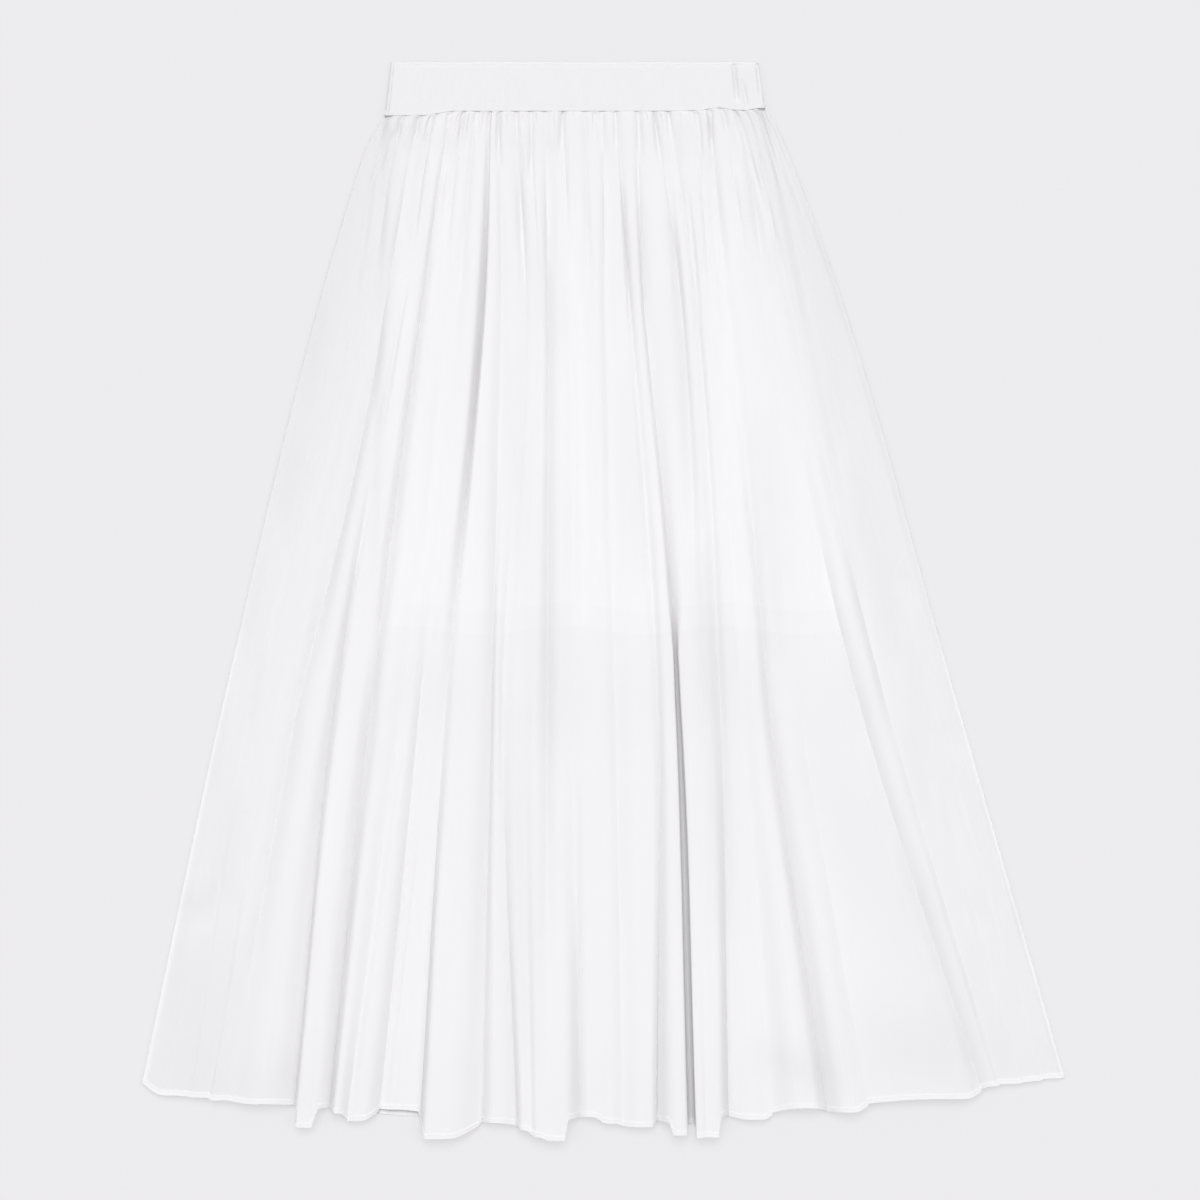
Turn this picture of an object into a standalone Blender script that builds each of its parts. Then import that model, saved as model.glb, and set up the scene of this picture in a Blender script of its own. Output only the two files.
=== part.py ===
"""A gathered midi skirt of thin white cloth, laid flat on its back panel.

The waistband is a flattened loop of elastic. The front and back panels hang from it in soft folds
that run from gathers at the waist to broad flutes at the hem, and a short lining lies between them.
Lengths are in millimetres and become metres when the meshes are made. The skirt lies in the XY
plane with its waist towards +Y, its front up, and its back on z = 0.
"""
import math
from typing import NamedTuple

import bmesh
import bpy
from mathutils import Vector

MM = 0.001

# Driving dimensions of the cloth and the waistband
CLOTH = 1.2
LINING = 1.0
SEAM_GAP = 0.3
BAND_WALL = 2.2
BAND_DEPTH = 41.0
BAND_TOP_WIDTH = 301.0
BAND_TOP_HEIGHT = 6.2
BAND_FOOT_WIDTH = 313.0
BAND_FOOT_HEIGHT = 8.2
BAND_EDGE_ROLL = 0.5
BAND_MIDDLE = -24.0

# Distances down from the waist seam at which the fold table gives places, heights and depths
STATIONS = (0.0, 153.0, 481.0, 809.0)

# Shares of a panel's length at which its cross-sections are taken, closest near the gathers
ROWS = (0.0, 0.012, 0.03, 0.055, 0.09, 0.14, 0.21, 0.3, 0.4, 0.5, 0.6, 0.7, 0.8, 0.9, 1.0)

# The cloth spreads fast just below the seam: how far at the sides, and how far down
FAN = 4.4
FAN_AT = 40.0

# Gathers: how far a pucker runs for each millimetre of its depth, and the back's share of them
PUCKER_RUN = 14.0
BACK_PUCKER = 1.0
BACK_PUCKER_RUN = 26.0

# Share of each fold's drawn height that is left at the stations, because pressed cloth lies flat
RELIEF = (1.0, 0.95, 0.68, 0.52)

# Form of a fold: height of its shoulders, and limits of the mitre that keeps the wall's thickness
SHOULDER = 0.7
MITRE_LIMIT = 2.0
VALLEY_ASIDE = 1.0
TUCK_END = 380.0
TUCK_ROOM = 2.6
CREST_ROOM = 0.15

# The back panel: its length in the middle, how much its hem lifts at the sides, and its flutes,
# which rise a little into the front's
BACK_LENGTH = 828.0
BACK_LIFT = 36.0
HALF_HEM = 379.0
BACK_FLUTES = (520.0, 809.0)
BACK_SHARE = 0.3
BACK_SLOPE = 0.12
BACK_CLEARANCE = 0.3

# The lining: a plain slip, inset from the sides
LINING_WAIST = (-169.0, 121.0)
LINING_HEM = (-179.0, 202.0)
FRONT_LINING_LENGTH = 405.0
BACK_LINING_LENGTH = 424.0
LINING_COLUMNS = 6
LINING_ROWS = 6
LINING_SIDE_EASE = (4.0, 14.0)
LINING_END_EASE = (440.0, 520.0)


class Fold(NamedTuple):
    """A valley line of the front panel, and the fold on its right.

    waist, hip, knee, hem: the line's x at the four stations.
    length: how far below the waist seam its hem lies.
    deep_*: share of the neighbouring folds' height that the valley drops.
    rise_*: drawn height of the fold on the right above the layers below.
    pucker: depth of the gather at the waist.
    tuck: how far the fold on the left laps over the line near the hip.
    left, right: share of the neighbouring fold's width taken by its rising side.
    reach: how much lower the hem of the fold on the right hangs than its valleys.
    """

    waist: float
    hip: float
    knee: float
    hem: float
    length: float
    deep_hip: float
    deep_knee: float
    deep_hem: float
    rise_hip: float
    rise_knee: float
    rise_hem: float
    pucker: float
    tuck: float
    left: float
    right: float
    reach: float


# The first and last rows are the side seams
FOLDS = (
    #    waist   hip  knee   hem  length  deep hip, knee, hem  rise hip, knee, hem  pucker, tuck  left right reach
    Fold(-181, -232, -312, -382, 793.0, 1.00, 1.00, 1.00, 3.0, 4.0, 6.0, 0.0, 0.0, 0.30, 0.30, 4.0),
    Fold(-177, -204, -290, -341, 806.0, 0.60, 0.20, 0.50, 5.0, 5.0, 7.0, 1.4, 0.0, 0.25, 0.25, 1.0),
    Fold(-164, -191, -269, -324, 808.0, 0.00, 0.00, 0.00, 5.0, 5.0, 7.5, 1.8, 0.0, 0.25, 0.25, 1.0),
    Fold(-150, -178, -250, -308, 809.0, 0.60, 0.60, 0.00, 6.0, 9.0, 9.0, 2.6, 0.0, 0.25, 0.25, 0.5),
    Fold(-138, -163, -219, -251, 812.5, 0.00, 0.70, 1.00, 6.0, 10.0, 19.0, 1.6, 0.0, 0.20, 0.06, 13.0),
    Fold(-125, -148, -191, -224, 815.0, 0.60, 0.90, 1.00, 7.0, 12.0, 15.0, 1.8, 0.0, 0.38, 0.35, 8.0),
    Fold(-115, -133, -165, -208, 818.0, 0.00, 0.10, 0.35, 7.0, 12.0, 14.0, 1.6, 0.0, 0.20, 0.20, 6.0),
    Fold(-105, -119, -150, -183, 816.0, 0.10, 0.20, 0.80, 9.0, 11.0, 5.0, 1.4, 0.0, 0.35, 0.25, -3.0),
    Fold(-96, -100, -128, -149, 819.0, 1.00, 0.70, 0.90, 6.0, 13.0, 26.0, 2.0, 1.5, 0.25, 0.06, 15.0),
    Fold(-86, -84, -92, -100, 826.0, 0.35, 0.90, 0.85, 5.0, 9.0, 14.0, 1.6, 0.0, 0.28, 0.28, 0.0),
    Fold(-73, -64, -82, -72, 827.0, 0.35, 0.30, 0.90, 5.0, 10.0, 16.0, 1.6, 0.0, 0.22, 0.35, 6.0),
    Fold(-61, -54, -65, -61, 833.0, 0.00, 0.00, -0.25, 5.0, 12.0, 23.0, 1.4, 0.0, 0.25, 0.25, 6.0),
    Fold(-49, -46, -50, -48, 834.0, 0.35, 0.60, -0.04, 6.0, 13.0, 22.0, 1.6, 0.0, 0.25, 0.25, 6.0),
    Fold(-34, -27, -25, -20, 823.0, 0.15, 0.00, 0.90, 7.0, 13.0, 12.0, 2.6, 0.0, 0.32, 0.30, -2.0),
    Fold(-16, -12, -8, -3, 824.0, 0.10, 0.00, 0.00, 7.0, 13.0, 12.5, 1.2, 0.0, 0.25, 0.25, -2.0),
    Fold(-1, 1, 9, 15, 826.0, 0.30, 0.30, 0.30, 6.0, 13.0, 14.0, 1.6, 0.0, 0.25, 0.25, 2.0),
    Fold(10, 21, 44, 44, 824.0, 0.60, 0.50, 0.90, 6.0, 14.0, 22.0, 1.8, 0.6, 0.18, 0.28, 11.0),
    Fold(27, 32, 61, 71, 825.5, 0.60, 1.00, 1.00, 7.0, 13.0, 22.0, 2.4, 0.0, 0.20, 0.34, 8.0),
    Fold(41, 63, 77, 84, 834.0, 0.60, 0.00, -0.08, 6.0, 14.0, 22.0, 1.8, 0.0, 0.25, 0.25, 8.0),
    Fold(53, 75, 95, 101, 821.5, 0.40, 0.50, 1.00, 6.0, 12.0, 10.0, 1.6, 0.0, 0.45, 0.20, 0.5),
    Fold(73, 87, 113, 137, 820.0, 0.10, 0.10, 0.30, 6.0, 12.0, 9.0, 2.6, 0.0, 0.25, 0.25, -4.0),
    Fold(85, 100, 134, 181, 816.0, 0.20, 0.75, 0.90, 6.0, 10.0, 10.0, 2.4, 0.0, 0.20, 0.20, 1.5),
    Fold(96, 120, 158, 216, 812.0, 0.10, 0.40, 0.70, 7.0, 9.0, 13.0, 1.6, 0.0, 0.25, 0.20, -2.0),
    Fold(108, 135, 208, 312, 802.0, 0.00, 0.60, 0.60, 7.0, 9.0, 9.0, 1.6, 0.0, 0.20, 0.30, -2.0),
    Fold(116, 150, 230, 328, 796.0, 0.40, 0.40, 0.10, 6.0, 6.0, 7.0, 1.2, 0.0, 0.30, 0.30, 0.0),
    Fold(123, 167, 257, 346, 795.0, 0.50, 0.10, 0.00, 4.0, 4.0, 5.0, 1.4, 0.0, 0.30, 0.30, 0.0),
    Fold(128, 180, 273, 364, 792.0, 0.00, 0.00, 0.20, 3.0, 3.0, 4.0, 1.0, 0.0, 0.30, 0.30, 0.0),
    Fold(133, 194, 289, 383, 790.5, 1.00, 1.00, 1.00, 0.0, 0.0, 0.0, 0.0, 0.0, 0.30, 0.30, 0.0),
)


def clamp(value, low=0.0, high=1.0):
    """Keep a value between two limits."""
    return max(low, min(high, value))


def ease(value, start, end):
    """Rise smoothly from 0 at start to 1 at end."""
    share = clamp((value - start) / (end - start))
    return share * share * (3.0 - 2.0 * share)


def along(values, distance):
    """Read a smooth curve through values given at the stations, at a distance below the seam."""
    last = len(STATIONS) - 2
    span = last
    for index in range(last + 1):
        if distance < STATIONS[index + 1]:
            span = index
            break
    slopes = [(values[i + 1] - values[i]) / (STATIONS[i + 1] - STATIONS[i]) for i in range(last + 1)]
    start = slopes[span] if span == 0 else 0.5 * (slopes[span - 1] + slopes[span])
    end = slopes[span] if span == last else 0.5 * (slopes[span] + slopes[span + 1])
    width = STATIONS[span + 1] - STATIONS[span]
    t = (distance - STATIONS[span]) / width
    if t > 1.0:
        return values[-1] + end * (distance - STATIONS[-1])
    bend = t * (1.0 - t) * width
    straight = values[span] + (values[span + 1] - values[span]) * t * t * (3.0 - 2.0 * t)
    return straight + bend * (start * (1.0 - t) - end * t)


def line_x(fold, distance):
    """Place of a valley line across the skirt."""
    aside = (fold.waist - BAND_MIDDLE) / (0.5 * BAND_FOOT_WIDTH)
    down = distance / FAN_AT
    fan = FAN * aside ** 3 * down * math.exp(1.0 - down)
    return along((fold.waist, fold.hip, fold.knee, fold.hem), distance) + fan


def depth(fold, distance):
    """Share of the neighbouring folds' height that a valley drops at this distance."""
    return clamp(along((1.0, fold.deep_hip, fold.deep_knee, fold.deep_hem), distance), -0.3, 1.0)


def pucker(left, right, distance):
    """Height that the gathers give the fold between two valley lines."""
    deep = 0.5 * (left.pucker + right.pucker)
    return deep * math.exp(-(distance / (PUCKER_RUN * deep)) ** 2)


def fold_swell(fold, distance):
    """Height of the fold right of a valley line without its gather."""
    drawn = along((0.0, fold.rise_hip, fold.rise_knee, fold.rise_hem), distance)
    return max(0.0, drawn * along(RELIEF, distance))


def fold_height(left, right, distance):
    """Height of the fold between two valley lines above the layers below it."""
    return fold_swell(left, distance) + pucker(left, right, distance)


def seam_lift(distance):
    """Extra height under the linings near the seam, where the back is gathered."""
    return BACK_PUCKER * math.exp(-(distance / BACK_PUCKER_RUN) ** 2)


def lining_edges(distance):
    """Left and right sides of the lining at a distance below the seam."""
    share = distance / FRONT_LINING_LENGTH
    return tuple(top + (foot - top) * share for top, foot in zip(LINING_WAIST, LINING_HEM))


def layers_below(x, distance):
    """Height at which the front panel's underside may lie: on the back panel or on the linings."""
    left, right = lining_edges(distance)
    outside = max(left - x, x - right)
    lined = (1.0 - ease(outside, *LINING_SIDE_EASE)) * (1.0 - ease(distance, *LINING_END_EASE))
    linings = 2.0 * (LINING + SEAM_GAP) + seam_lift(distance)
    return CLOTH + SEAM_GAP + lined * linings


def valley_height(index, distance):
    """Height of a valley line above the layers below it."""
    near = [fold_height(FOLDS[i], FOLDS[i + 1], distance)
            for i in (index - 1, index) if 0 <= i < len(FOLDS) - 1]
    return (1.0 - depth(FOLDS[index], distance)) * min(near)


def lap(fold, distance):
    """How far along its lap the fold left of a valley line is, from 0 to 1."""
    return math.sin(math.pi * clamp(distance / TUCK_END)) if fold.tuck else 0.0


def fold_columns(index, share):
    """Columns of the fold right of a valley line at a share of the length: side, crest, side."""
    left = FOLDS[index]
    right = FOLDS[index + 1]
    crest_length = 0.5 * (left.length + right.length) + left.reach
    columns = []
    for near, place in ((left, 0.0), (None, 0.5), (right, 1.0)):
        length = crest_length if near is None else near.length + SHOULDER * (crest_length - near.length)
        distance = share * length
        start = line_x(left, distance)
        end = line_x(right, distance)
        width = end - start
        low_side = start + left.right * width + TUCK_ROOM * left.tuck * lap(left, distance)
        over = lap(right, distance)
        high_side = end - right.left * width * (1.0 - over) + right.tuck * over
        height = fold_height(left, right, distance)
        if near is None:
            x = 0.5 * (low_side + min(high_side, end - CREST_ROOM * width))
        else:
            x = low_side + (high_side - low_side) * place
            foot = valley_height(index + round(place), distance)
            height = foot + SHOULDER * (height - foot)
        columns.append((x, distance, height))
    return columns


def front_section(share):
    """Outer and inner points of the front panel's wall at a share of its length."""
    columns = []
    valleys = []
    for index, fold in enumerate(FOLDS):
        distance = share * fold.length
        valleys.append(len(columns))
        columns.append((line_x(fold, distance), distance, valley_height(index, distance)))
        if index < len(FOLDS) - 1:
            columns.extend(fold_columns(index, share))
    floors = [layers_below(x, distance) for x, distance, _ in columns]
    outer = [Vector((x, -distance, floor + CLOTH + height))
             for (x, distance, height), floor in zip(columns, floors)]
    inner = []
    for i, point in enumerate(outer):
        before = outer[max(i - 1, 0)]
        after = outer[min(i + 1, len(outer) - 1)]
        if i in (0, len(outer) - 1):
            inner.append(point - Vector((0.0, 0.0, CLOTH)))
            continue
        first = Vector((before.z - point.z, 0.0, point.x - before.x)).normalized()
        second = Vector((point.z - after.z, 0.0, after.x - point.x)).normalized()
        middle = (first + second).normalized()
        mitre = min(MITRE_LIMIT, 1.0 / max(middle.dot(first), 0.1))
        inner.append(point - middle * (CLOTH * mitre))
    for i in valleys[1:-1]:
        aside = inner[i].x - outer[i].x
        inner[i].x = outer[i].x + clamp(aside, -VALLEY_ASIDE, VALLEY_ASIDE)
        clearance = BACK_CLEARANCE * ease(columns[i][1], *BACK_FLUTES)
        lift = floors[i] + clearance - inner[i].z
        if lift > 0.0:
            outer[i].z += lift
            inner[i].z += lift
    return outer, inner


def back_length(x):
    """How far below the waist seam the back's hem lies at a place across the hem."""
    return BACK_LENGTH - BACK_LIFT * (x / HALF_HEM) ** 2


def back_section(share):
    """Outer and inner points of the back panel's wall at a share of its length."""
    deepest = max(fold.pucker for fold in FOLDS)
    lower = []
    for fold, following in zip(FOLDS, FOLDS[1:]):
        length = fold.length if fold is FOLDS[0] else back_length(fold.hem)
        distance = share * length
        lower.append(Vector((line_x(fold, distance), -distance, 0.0)))
        distance = share * back_length(0.5 * (fold.hem + following.hem))
        start = line_x(fold, distance)
        end = line_x(following, distance)
        raised = min(BACK_SHARE * fold_swell(fold, distance), BACK_SLOPE * (end - start))
        raised *= ease(distance, *BACK_FLUTES)
        raised += 0.5 * (fold.pucker + following.pucker) / deepest * seam_lift(distance)
        lower.append(Vector((0.5 * (start + end), -distance, raised)))
    distance = share * FOLDS[-1].length
    lower.append(Vector((line_x(FOLDS[-1], distance), -distance, 0.0)))
    upper = [point + Vector((0.0, 0.0, CLOTH)) for point in lower]
    return upper, lower


def lining_section(distance, base):
    """Upper and lower points of a lining's wall at a distance below the seam."""
    left, right = lining_edges(distance)
    height = base + seam_lift(distance)
    lower = []
    for column in range(LINING_COLUMNS + 1):
        x = left + (right - left) * column / LINING_COLUMNS
        lower.append(Vector((x, -distance, height)))
    upper = [point + Vector((0.0, 0.0, LINING)) for point in lower]
    return upper, lower


def add_grid_faces(bm, grid):
    """Join a grid of vertices with quads."""
    for first, second in zip(grid, grid[1:]):
        for i in range(len(first) - 1):
            bm.faces.new((first[i], second[i], second[i + 1], first[i + 1]))


def panel_mesh(name, sections):
    """Make one closed wall of cloth from the outer and inner points of its sections."""
    bm = bmesh.new()
    upper = [[bm.verts.new(point * MM) for point in outer] for outer, _ in sections]
    lower = [[bm.verts.new(point * MM) for point in inner] for _, inner in sections]
    add_grid_faces(bm, upper)
    add_grid_faces(bm, [list(reversed(row)) for row in lower])
    add_grid_faces(bm, [lower[0], upper[0]])
    add_grid_faces(bm, [upper[-1], lower[-1]])
    left = [[row[0] for row in lower], [row[0] for row in upper]]
    right = [[row[-1] for row in upper], [row[-1] for row in lower]]
    add_grid_faces(bm, left)
    add_grid_faces(bm, right)
    bmesh.ops.recalc_face_normals(bm, faces=bm.faces)
    mesh = bpy.data.meshes.new(name)
    bm.to_mesh(mesh)
    bm.free()
    return mesh


def band_path(width, height):
    """Points of a flattened loop seen along the band's depth, and the way out at each point."""
    radius = 0.5 * height
    straight = 0.5 * width - radius
    path = []
    spans = 8
    turns = 6
    for side, direction in ((1.0, 1.0), (-1.0, -1.0)):
        for i in range(spans):
            x = direction * straight * (2.0 * i / spans - 1.0)
            path.append((Vector((x, 0.0, radius + side * radius)), Vector((0.0, 0.0, side))))
        for i in range(turns):
            angle = math.pi * i / turns
            out = Vector((direction * math.sin(angle), 0.0, side * math.cos(angle)))
            centre = Vector((direction * straight, 0.0, radius))
            path.append((centre + out * radius, out))
    return path


def band_mesh(name):
    """Make the waistband: a flattened loop of elastic with rolled edges."""
    stations = (
        # share of the depth, how far the edge rolls in
        (0.0, BAND_EDGE_ROLL),
        (0.03, 0.0),
        (0.97, 0.0),
        (1.0, BAND_EDGE_ROLL),
    )
    bm = bmesh.new()
    rings = []
    for share, roll in stations:
        width = BAND_FOOT_WIDTH + (BAND_TOP_WIDTH - BAND_FOOT_WIDTH) * share
        height = BAND_FOOT_HEIGHT + (BAND_TOP_HEIGHT - BAND_FOOT_HEIGHT) * share
        up = Vector((BAND_MIDDLE, SEAM_GAP + BAND_DEPTH * share, 0.0))
        path = band_path(width, height)
        outer = [bm.verts.new((up + point - out * roll) * MM) for point, out in path]
        inner = [bm.verts.new((up + point - out * (BAND_WALL - roll)) * MM) for point, out in path]
        rings.append((outer, inner))
    loops = [outer + outer[:1] for outer, _ in rings]
    loops += [inner + inner[:1] for _, inner in reversed(rings)]
    add_grid_faces(bm, loops + loops[:1])
    bmesh.ops.recalc_face_normals(bm, faces=bm.faces)
    mesh = bpy.data.meshes.new(name)
    bm.to_mesh(mesh)
    bm.free()
    return mesh


def cloth_material(name, colour, roughness):
    """Make a plain cloth finish."""
    material = bpy.data.materials.new(name)
    material.use_nodes = True
    shader = material.node_tree.nodes["Principled BSDF"]
    shader.inputs["Base Color"].default_value = (*colour, 1.0)
    shader.inputs["Roughness"].default_value = roughness
    shader.inputs["Metallic"].default_value = 0.0
    return material


def add_piece(mesh, material):
    """Put one finished piece into the scene."""
    piece = bpy.data.objects.new(mesh.name, mesh)
    mesh.materials.append(material)
    mesh.shade_smooth()
    mesh.set_sharp_from_angle(angle=math.radians(40.0))
    bpy.context.collection.objects.link(piece)
    return piece


def centre_on_floor(pieces):
    """Move every piece so that the middle of the skirt's box stands on the origin."""
    points = [vertex.co for piece in pieces for vertex in piece.data.vertices]
    low = Vector([min(point[axis] for point in points) for axis in range(3)])
    high = Vector([max(point[axis] for point in points) for axis in range(3)])
    shift = Vector((0.5 * (low.x + high.x), 0.5 * (low.y + high.y), low.z))
    for piece in pieces:
        for vertex in piece.data.vertices:
            vertex.co -= shift


def lining_distances(length):
    """Distances below the seam at which a lining's sections are taken."""
    middle = 0.5 * sum((FOLDS[0].length, FOLDS[-1].length))
    near = [row * middle for row in ROWS[:LINING_ROWS]]
    return near + [0.5 * (near[-1] + length), length]


def build():
    """Build the skirt from its pieces."""
    for item in list(bpy.data.objects):
        bpy.data.objects.remove(item, do_unlink=True)
    poplin = cloth_material("white_poplin", (0.86, 0.86, 0.87), 0.75)
    slip = cloth_material("white_lining", (0.84, 0.84, 0.85), 0.6)
    elastic = cloth_material("white_elastic", (0.87, 0.87, 0.88), 0.8)
    back_base = CLOTH + SEAM_GAP
    front_base = back_base + LINING + SEAM_GAP
    back_lining = [lining_section(d, back_base) for d in lining_distances(BACK_LINING_LENGTH)]
    front_lining = [lining_section(d, front_base) for d in lining_distances(FRONT_LINING_LENGTH)]
    pieces = [
        add_piece(band_mesh("waistband"), elastic),
        add_piece(panel_mesh("front_panel", [front_section(row) for row in ROWS]), poplin),
        add_piece(panel_mesh("back_panel", [back_section(row) for row in ROWS]), poplin),
        add_piece(panel_mesh("front_lining", front_lining), slip),
        add_piece(panel_mesh("back_lining", back_lining), slip),
    ]
    centre_on_floor(pieces)


build()
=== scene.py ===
"""Looks of a gathered midi skirt of thin white cloth, laid flat and seen from straight above.

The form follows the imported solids: the same table of folds, in millimetres, is read here at a finer
spacing, with rounded flutes, crisp valleys, narrow hems, side seams and small gathers.
"""
import logging
import math
from dataclasses import dataclass
from enum import Enum
from typing import Sequence

import bmesh
import bpy
import numpy as np
from mathutils import Matrix, Vector


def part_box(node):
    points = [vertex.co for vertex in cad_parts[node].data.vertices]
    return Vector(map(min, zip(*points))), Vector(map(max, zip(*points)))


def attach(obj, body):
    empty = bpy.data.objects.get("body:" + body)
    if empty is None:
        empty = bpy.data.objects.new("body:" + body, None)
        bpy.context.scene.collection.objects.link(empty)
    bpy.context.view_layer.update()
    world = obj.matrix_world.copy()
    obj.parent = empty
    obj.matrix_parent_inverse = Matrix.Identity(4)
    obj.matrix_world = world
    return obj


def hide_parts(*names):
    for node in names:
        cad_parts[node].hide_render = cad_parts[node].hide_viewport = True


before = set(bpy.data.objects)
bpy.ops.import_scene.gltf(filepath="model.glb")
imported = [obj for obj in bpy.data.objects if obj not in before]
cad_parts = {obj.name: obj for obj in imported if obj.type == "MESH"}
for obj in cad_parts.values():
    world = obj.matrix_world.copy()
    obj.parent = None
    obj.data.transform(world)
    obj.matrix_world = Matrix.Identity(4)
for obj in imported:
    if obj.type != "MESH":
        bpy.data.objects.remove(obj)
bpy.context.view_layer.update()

LOG = logging.getLogger("skirt")
MM = 0.001
BODY = "root"

# Distances down from the waist seam at which the fold table gives places, heights and depths
STATIONS = np.array([0.0, 153.0, 481.0, 809.0])


class Held(Enum):
    """How a sheet of cloth is held."""

    GATHERED = "gathered"
    LAID = "laid"


@dataclass(frozen=True)
class Fold:
    """A valley line of the front panel, and the fold on its right, in millimetres.

    waist, hip, knee, hem: the line's x at the four stations.
    length: how far below the waist seam its hem lies.
    deep_*: share of the neighbouring folds' height that the valley drops.
    rise_*: height of the fold on the right above the layers below.
    pucker: depth of the gather at the waist.
    bow: how far the line bows to the right between the hip and the knee.
    left, right: share of the neighbouring fold's width taken by its rising side.
    reach: how much lower the hem of the fold on the right hangs than its valleys.
    """

    waist: float
    hip: float
    knee: float
    hem: float
    length: float
    deep_hip: float
    deep_knee: float
    deep_hem: float
    rise_hip: float
    rise_knee: float
    rise_hem: float
    pucker: float
    bow: float
    left: float
    right: float
    reach: float

    @property
    def line(self) -> tuple[float, ...]:
        """The valley line's x at each station."""
        return self.waist, self.hip, self.knee, self.hem

    @property
    def depths(self) -> tuple[float, ...]:
        """The valley's depth share at each station."""
        return 1.0, self.deep_hip, self.deep_knee, self.deep_hem

    @property
    def rises(self) -> tuple[float, ...]:
        """The height of the fold on the right at each station."""
        return 0.0, self.rise_hip, self.rise_knee, self.rise_hem


# The first and last rows are the side seams
FOLDS = (
    # waist, hip, knee, hem; length; deep_hip, deep_knee, deep_hem; rise_hip, rise_knee, rise_hem;
    # pucker; bow; left, right; reach
    Fold(-181, -232, -312, -382, 793.0, 1.00, 1.00, 1.00, 3.0, 4.0, 7.5, 0.0, 0.0, 0.30, 0.60, 5.5),
    Fold(-177, -204, -290, -341, 806.0, -0.25, 0.10, 0.05, 5.0, 5.5, 9.0, 1.4, 0.0, 0.16, 0.25, 0.0),
    Fold(-164, -191, -269, -324, 807.0, 0.00, 0.00, 0.00, 5.0, 6.0, 11.5, 1.8, 0.0, 0.25, 0.25, 1.0),
    Fold(-150, -178, -250, -308, 808.5, 0.40, 0.85, 0.00, 6.0, 12.0, 18.0, 2.6, 5.0, 0.42, 0.48, 0.5),
    Fold(-138, -163, -220, -253.5, 813.5, -0.15, 0.72, 0.95, 6.0, 11.0, 17.0, 1.6, 0.0, 0.20, 0.13, 16.5),
    Fold(-125, -148, -191, -224, 815.0, 0.60, 0.90, 1.00, 7.0, 13.0, 18.0, 1.8, 0.0, 0.21, 0.33, -1.5),
    Fold(-115, -133, -165, -208, 826.0, 0.00, 0.10, 0.30, 7.0, 12.0, 14.0, 1.6, 0.0, 0.25, 0.30, 4.5),
    Fold(-105, -119, -150, -183, 816.0, 0.10, 0.20, 0.80, 9.0, 11.0, 7.5, 1.4, 0.0, 0.35, 0.30, -1.0),
    Fold(-93, -98.5, -129, -150, 819.0, 1.00, 0.32, 0.64, 6.0, 13.0, 20.0, 2.0, 0.0, 0.27, 0.13, 17.0),
    Fold(-86, -84, -92, -100, 827.0, 0.35, 0.55, 0.95, 5.0, 9.0, 15.0, 1.6, 0.0, 0.30, 0.32, -1.5),
    Fold(-73, -64, -83, -72.5, 830.0, 0.35, 0.25, 0.60, 5.0, 10.0, 16.0, 1.6, 0.0, 0.35, 0.40, 0.0),
    Fold(-61, -54, -65, -60, 836.0, 0.00, 0.00, 0.00, 5.0, 12.0, 20.0, 1.4, 0.0, 0.30, 0.30, 0.0),
    Fold(-49, -46, -47, -47, 841.0, 0.55, 0.50, 0.00, 6.0, 13.0, 20.0, 1.6, 0.0, 0.38, 0.38, 9.0),
    Fold(-34, -27, -25, -20, 823.5, -0.30, 0.00, 0.70, 7.0, 13.0, 12.0, 2.6, 0.0, 0.32, 0.30, -2.0),
    Fold(-16, -12, -8, -3, 825.5, 0.10, 0.00, 0.00, 7.0, 13.0, 12.5, 1.2, 0.0, 0.25, 0.25, 0.0),
    Fold(-1, 1, 9, 15, 830.0, 0.20, 0.30, 0.30, 6.0, 13.0, 14.0, 1.6, 0.0, 0.30, 0.30, 2.5),
    Fold(10, 21, 44, 43.5, 826.0, 0.35, 0.35, 0.82, 6.0, 14.0, 22.0, 1.8, 0.0, 0.13, 0.28, 11.0),
    Fold(27, 32, 60, 71, 825.5, 0.42, 0.92, 1.00, 7.0, 13.0, 22.0, 2.4, 2.6, 0.20, 0.34, 7.0),
    Fold(41, 63, 77, 83, 838.0, 0.50, 0.00, 0.00, 6.0, 14.0, 20.0, 1.8, 0.0, 0.25, 0.25, 9.0),
    Fold(53, 75, 95, 102, 821.5, 0.40, 0.30, 0.90, 6.0, 12.0, 10.0, 1.6, 0.0, 0.45, 0.25, 4.0),
    Fold(73, 87, 113, 137, 820.0, 0.10, 0.10, 0.20, 6.0, 12.0, 21.0, 2.6, 0.0, 0.25, 0.25, -4.5),
    Fold(85, 100, 134, 181, 818.5, 0.20, 0.62, 0.95, 6.0, 10.0, 20.0, 2.4, 3.0, 0.26, 0.28, 3.0),
    Fold(96, 120, 158, 216, 812.0, 0.10, 0.30, 0.28, 7.0, 9.0, 16.5, 1.6, 0.0, 0.50, 0.40, 1.0),
    Fold(108, 135, 208, 312, 801.0, 0.00, 0.60, 0.60, 7.0, 9.0, 9.0, 1.6, 0.0, 0.20, 0.30, -1.0),
    Fold(116, 150, 230, 328, 796.0, 0.15, 0.40, 0.10, 6.0, 6.0, 7.0, 1.2, 0.0, 0.30, 0.30, 0.0),
    Fold(123, 167, 257, 346, 795.0, -0.60, 0.10, 0.00, 4.0, 4.0, 5.0, 1.4, 0.0, 0.30, 0.30, 0.0),
    Fold(128, 180, 273, 364, 792.0, 0.00, 0.00, 0.20, 3.0, 3.0, 4.0, 1.0, 0.0, 0.30, 0.30, 0.0),
    Fold(133, 194, 289, 383, 790.5, 1.00, 1.00, 1.00, 0.0, 0.0, 0.0, 0.0, 0.0, 0.34, 0.30, 0.0),
)


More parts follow.
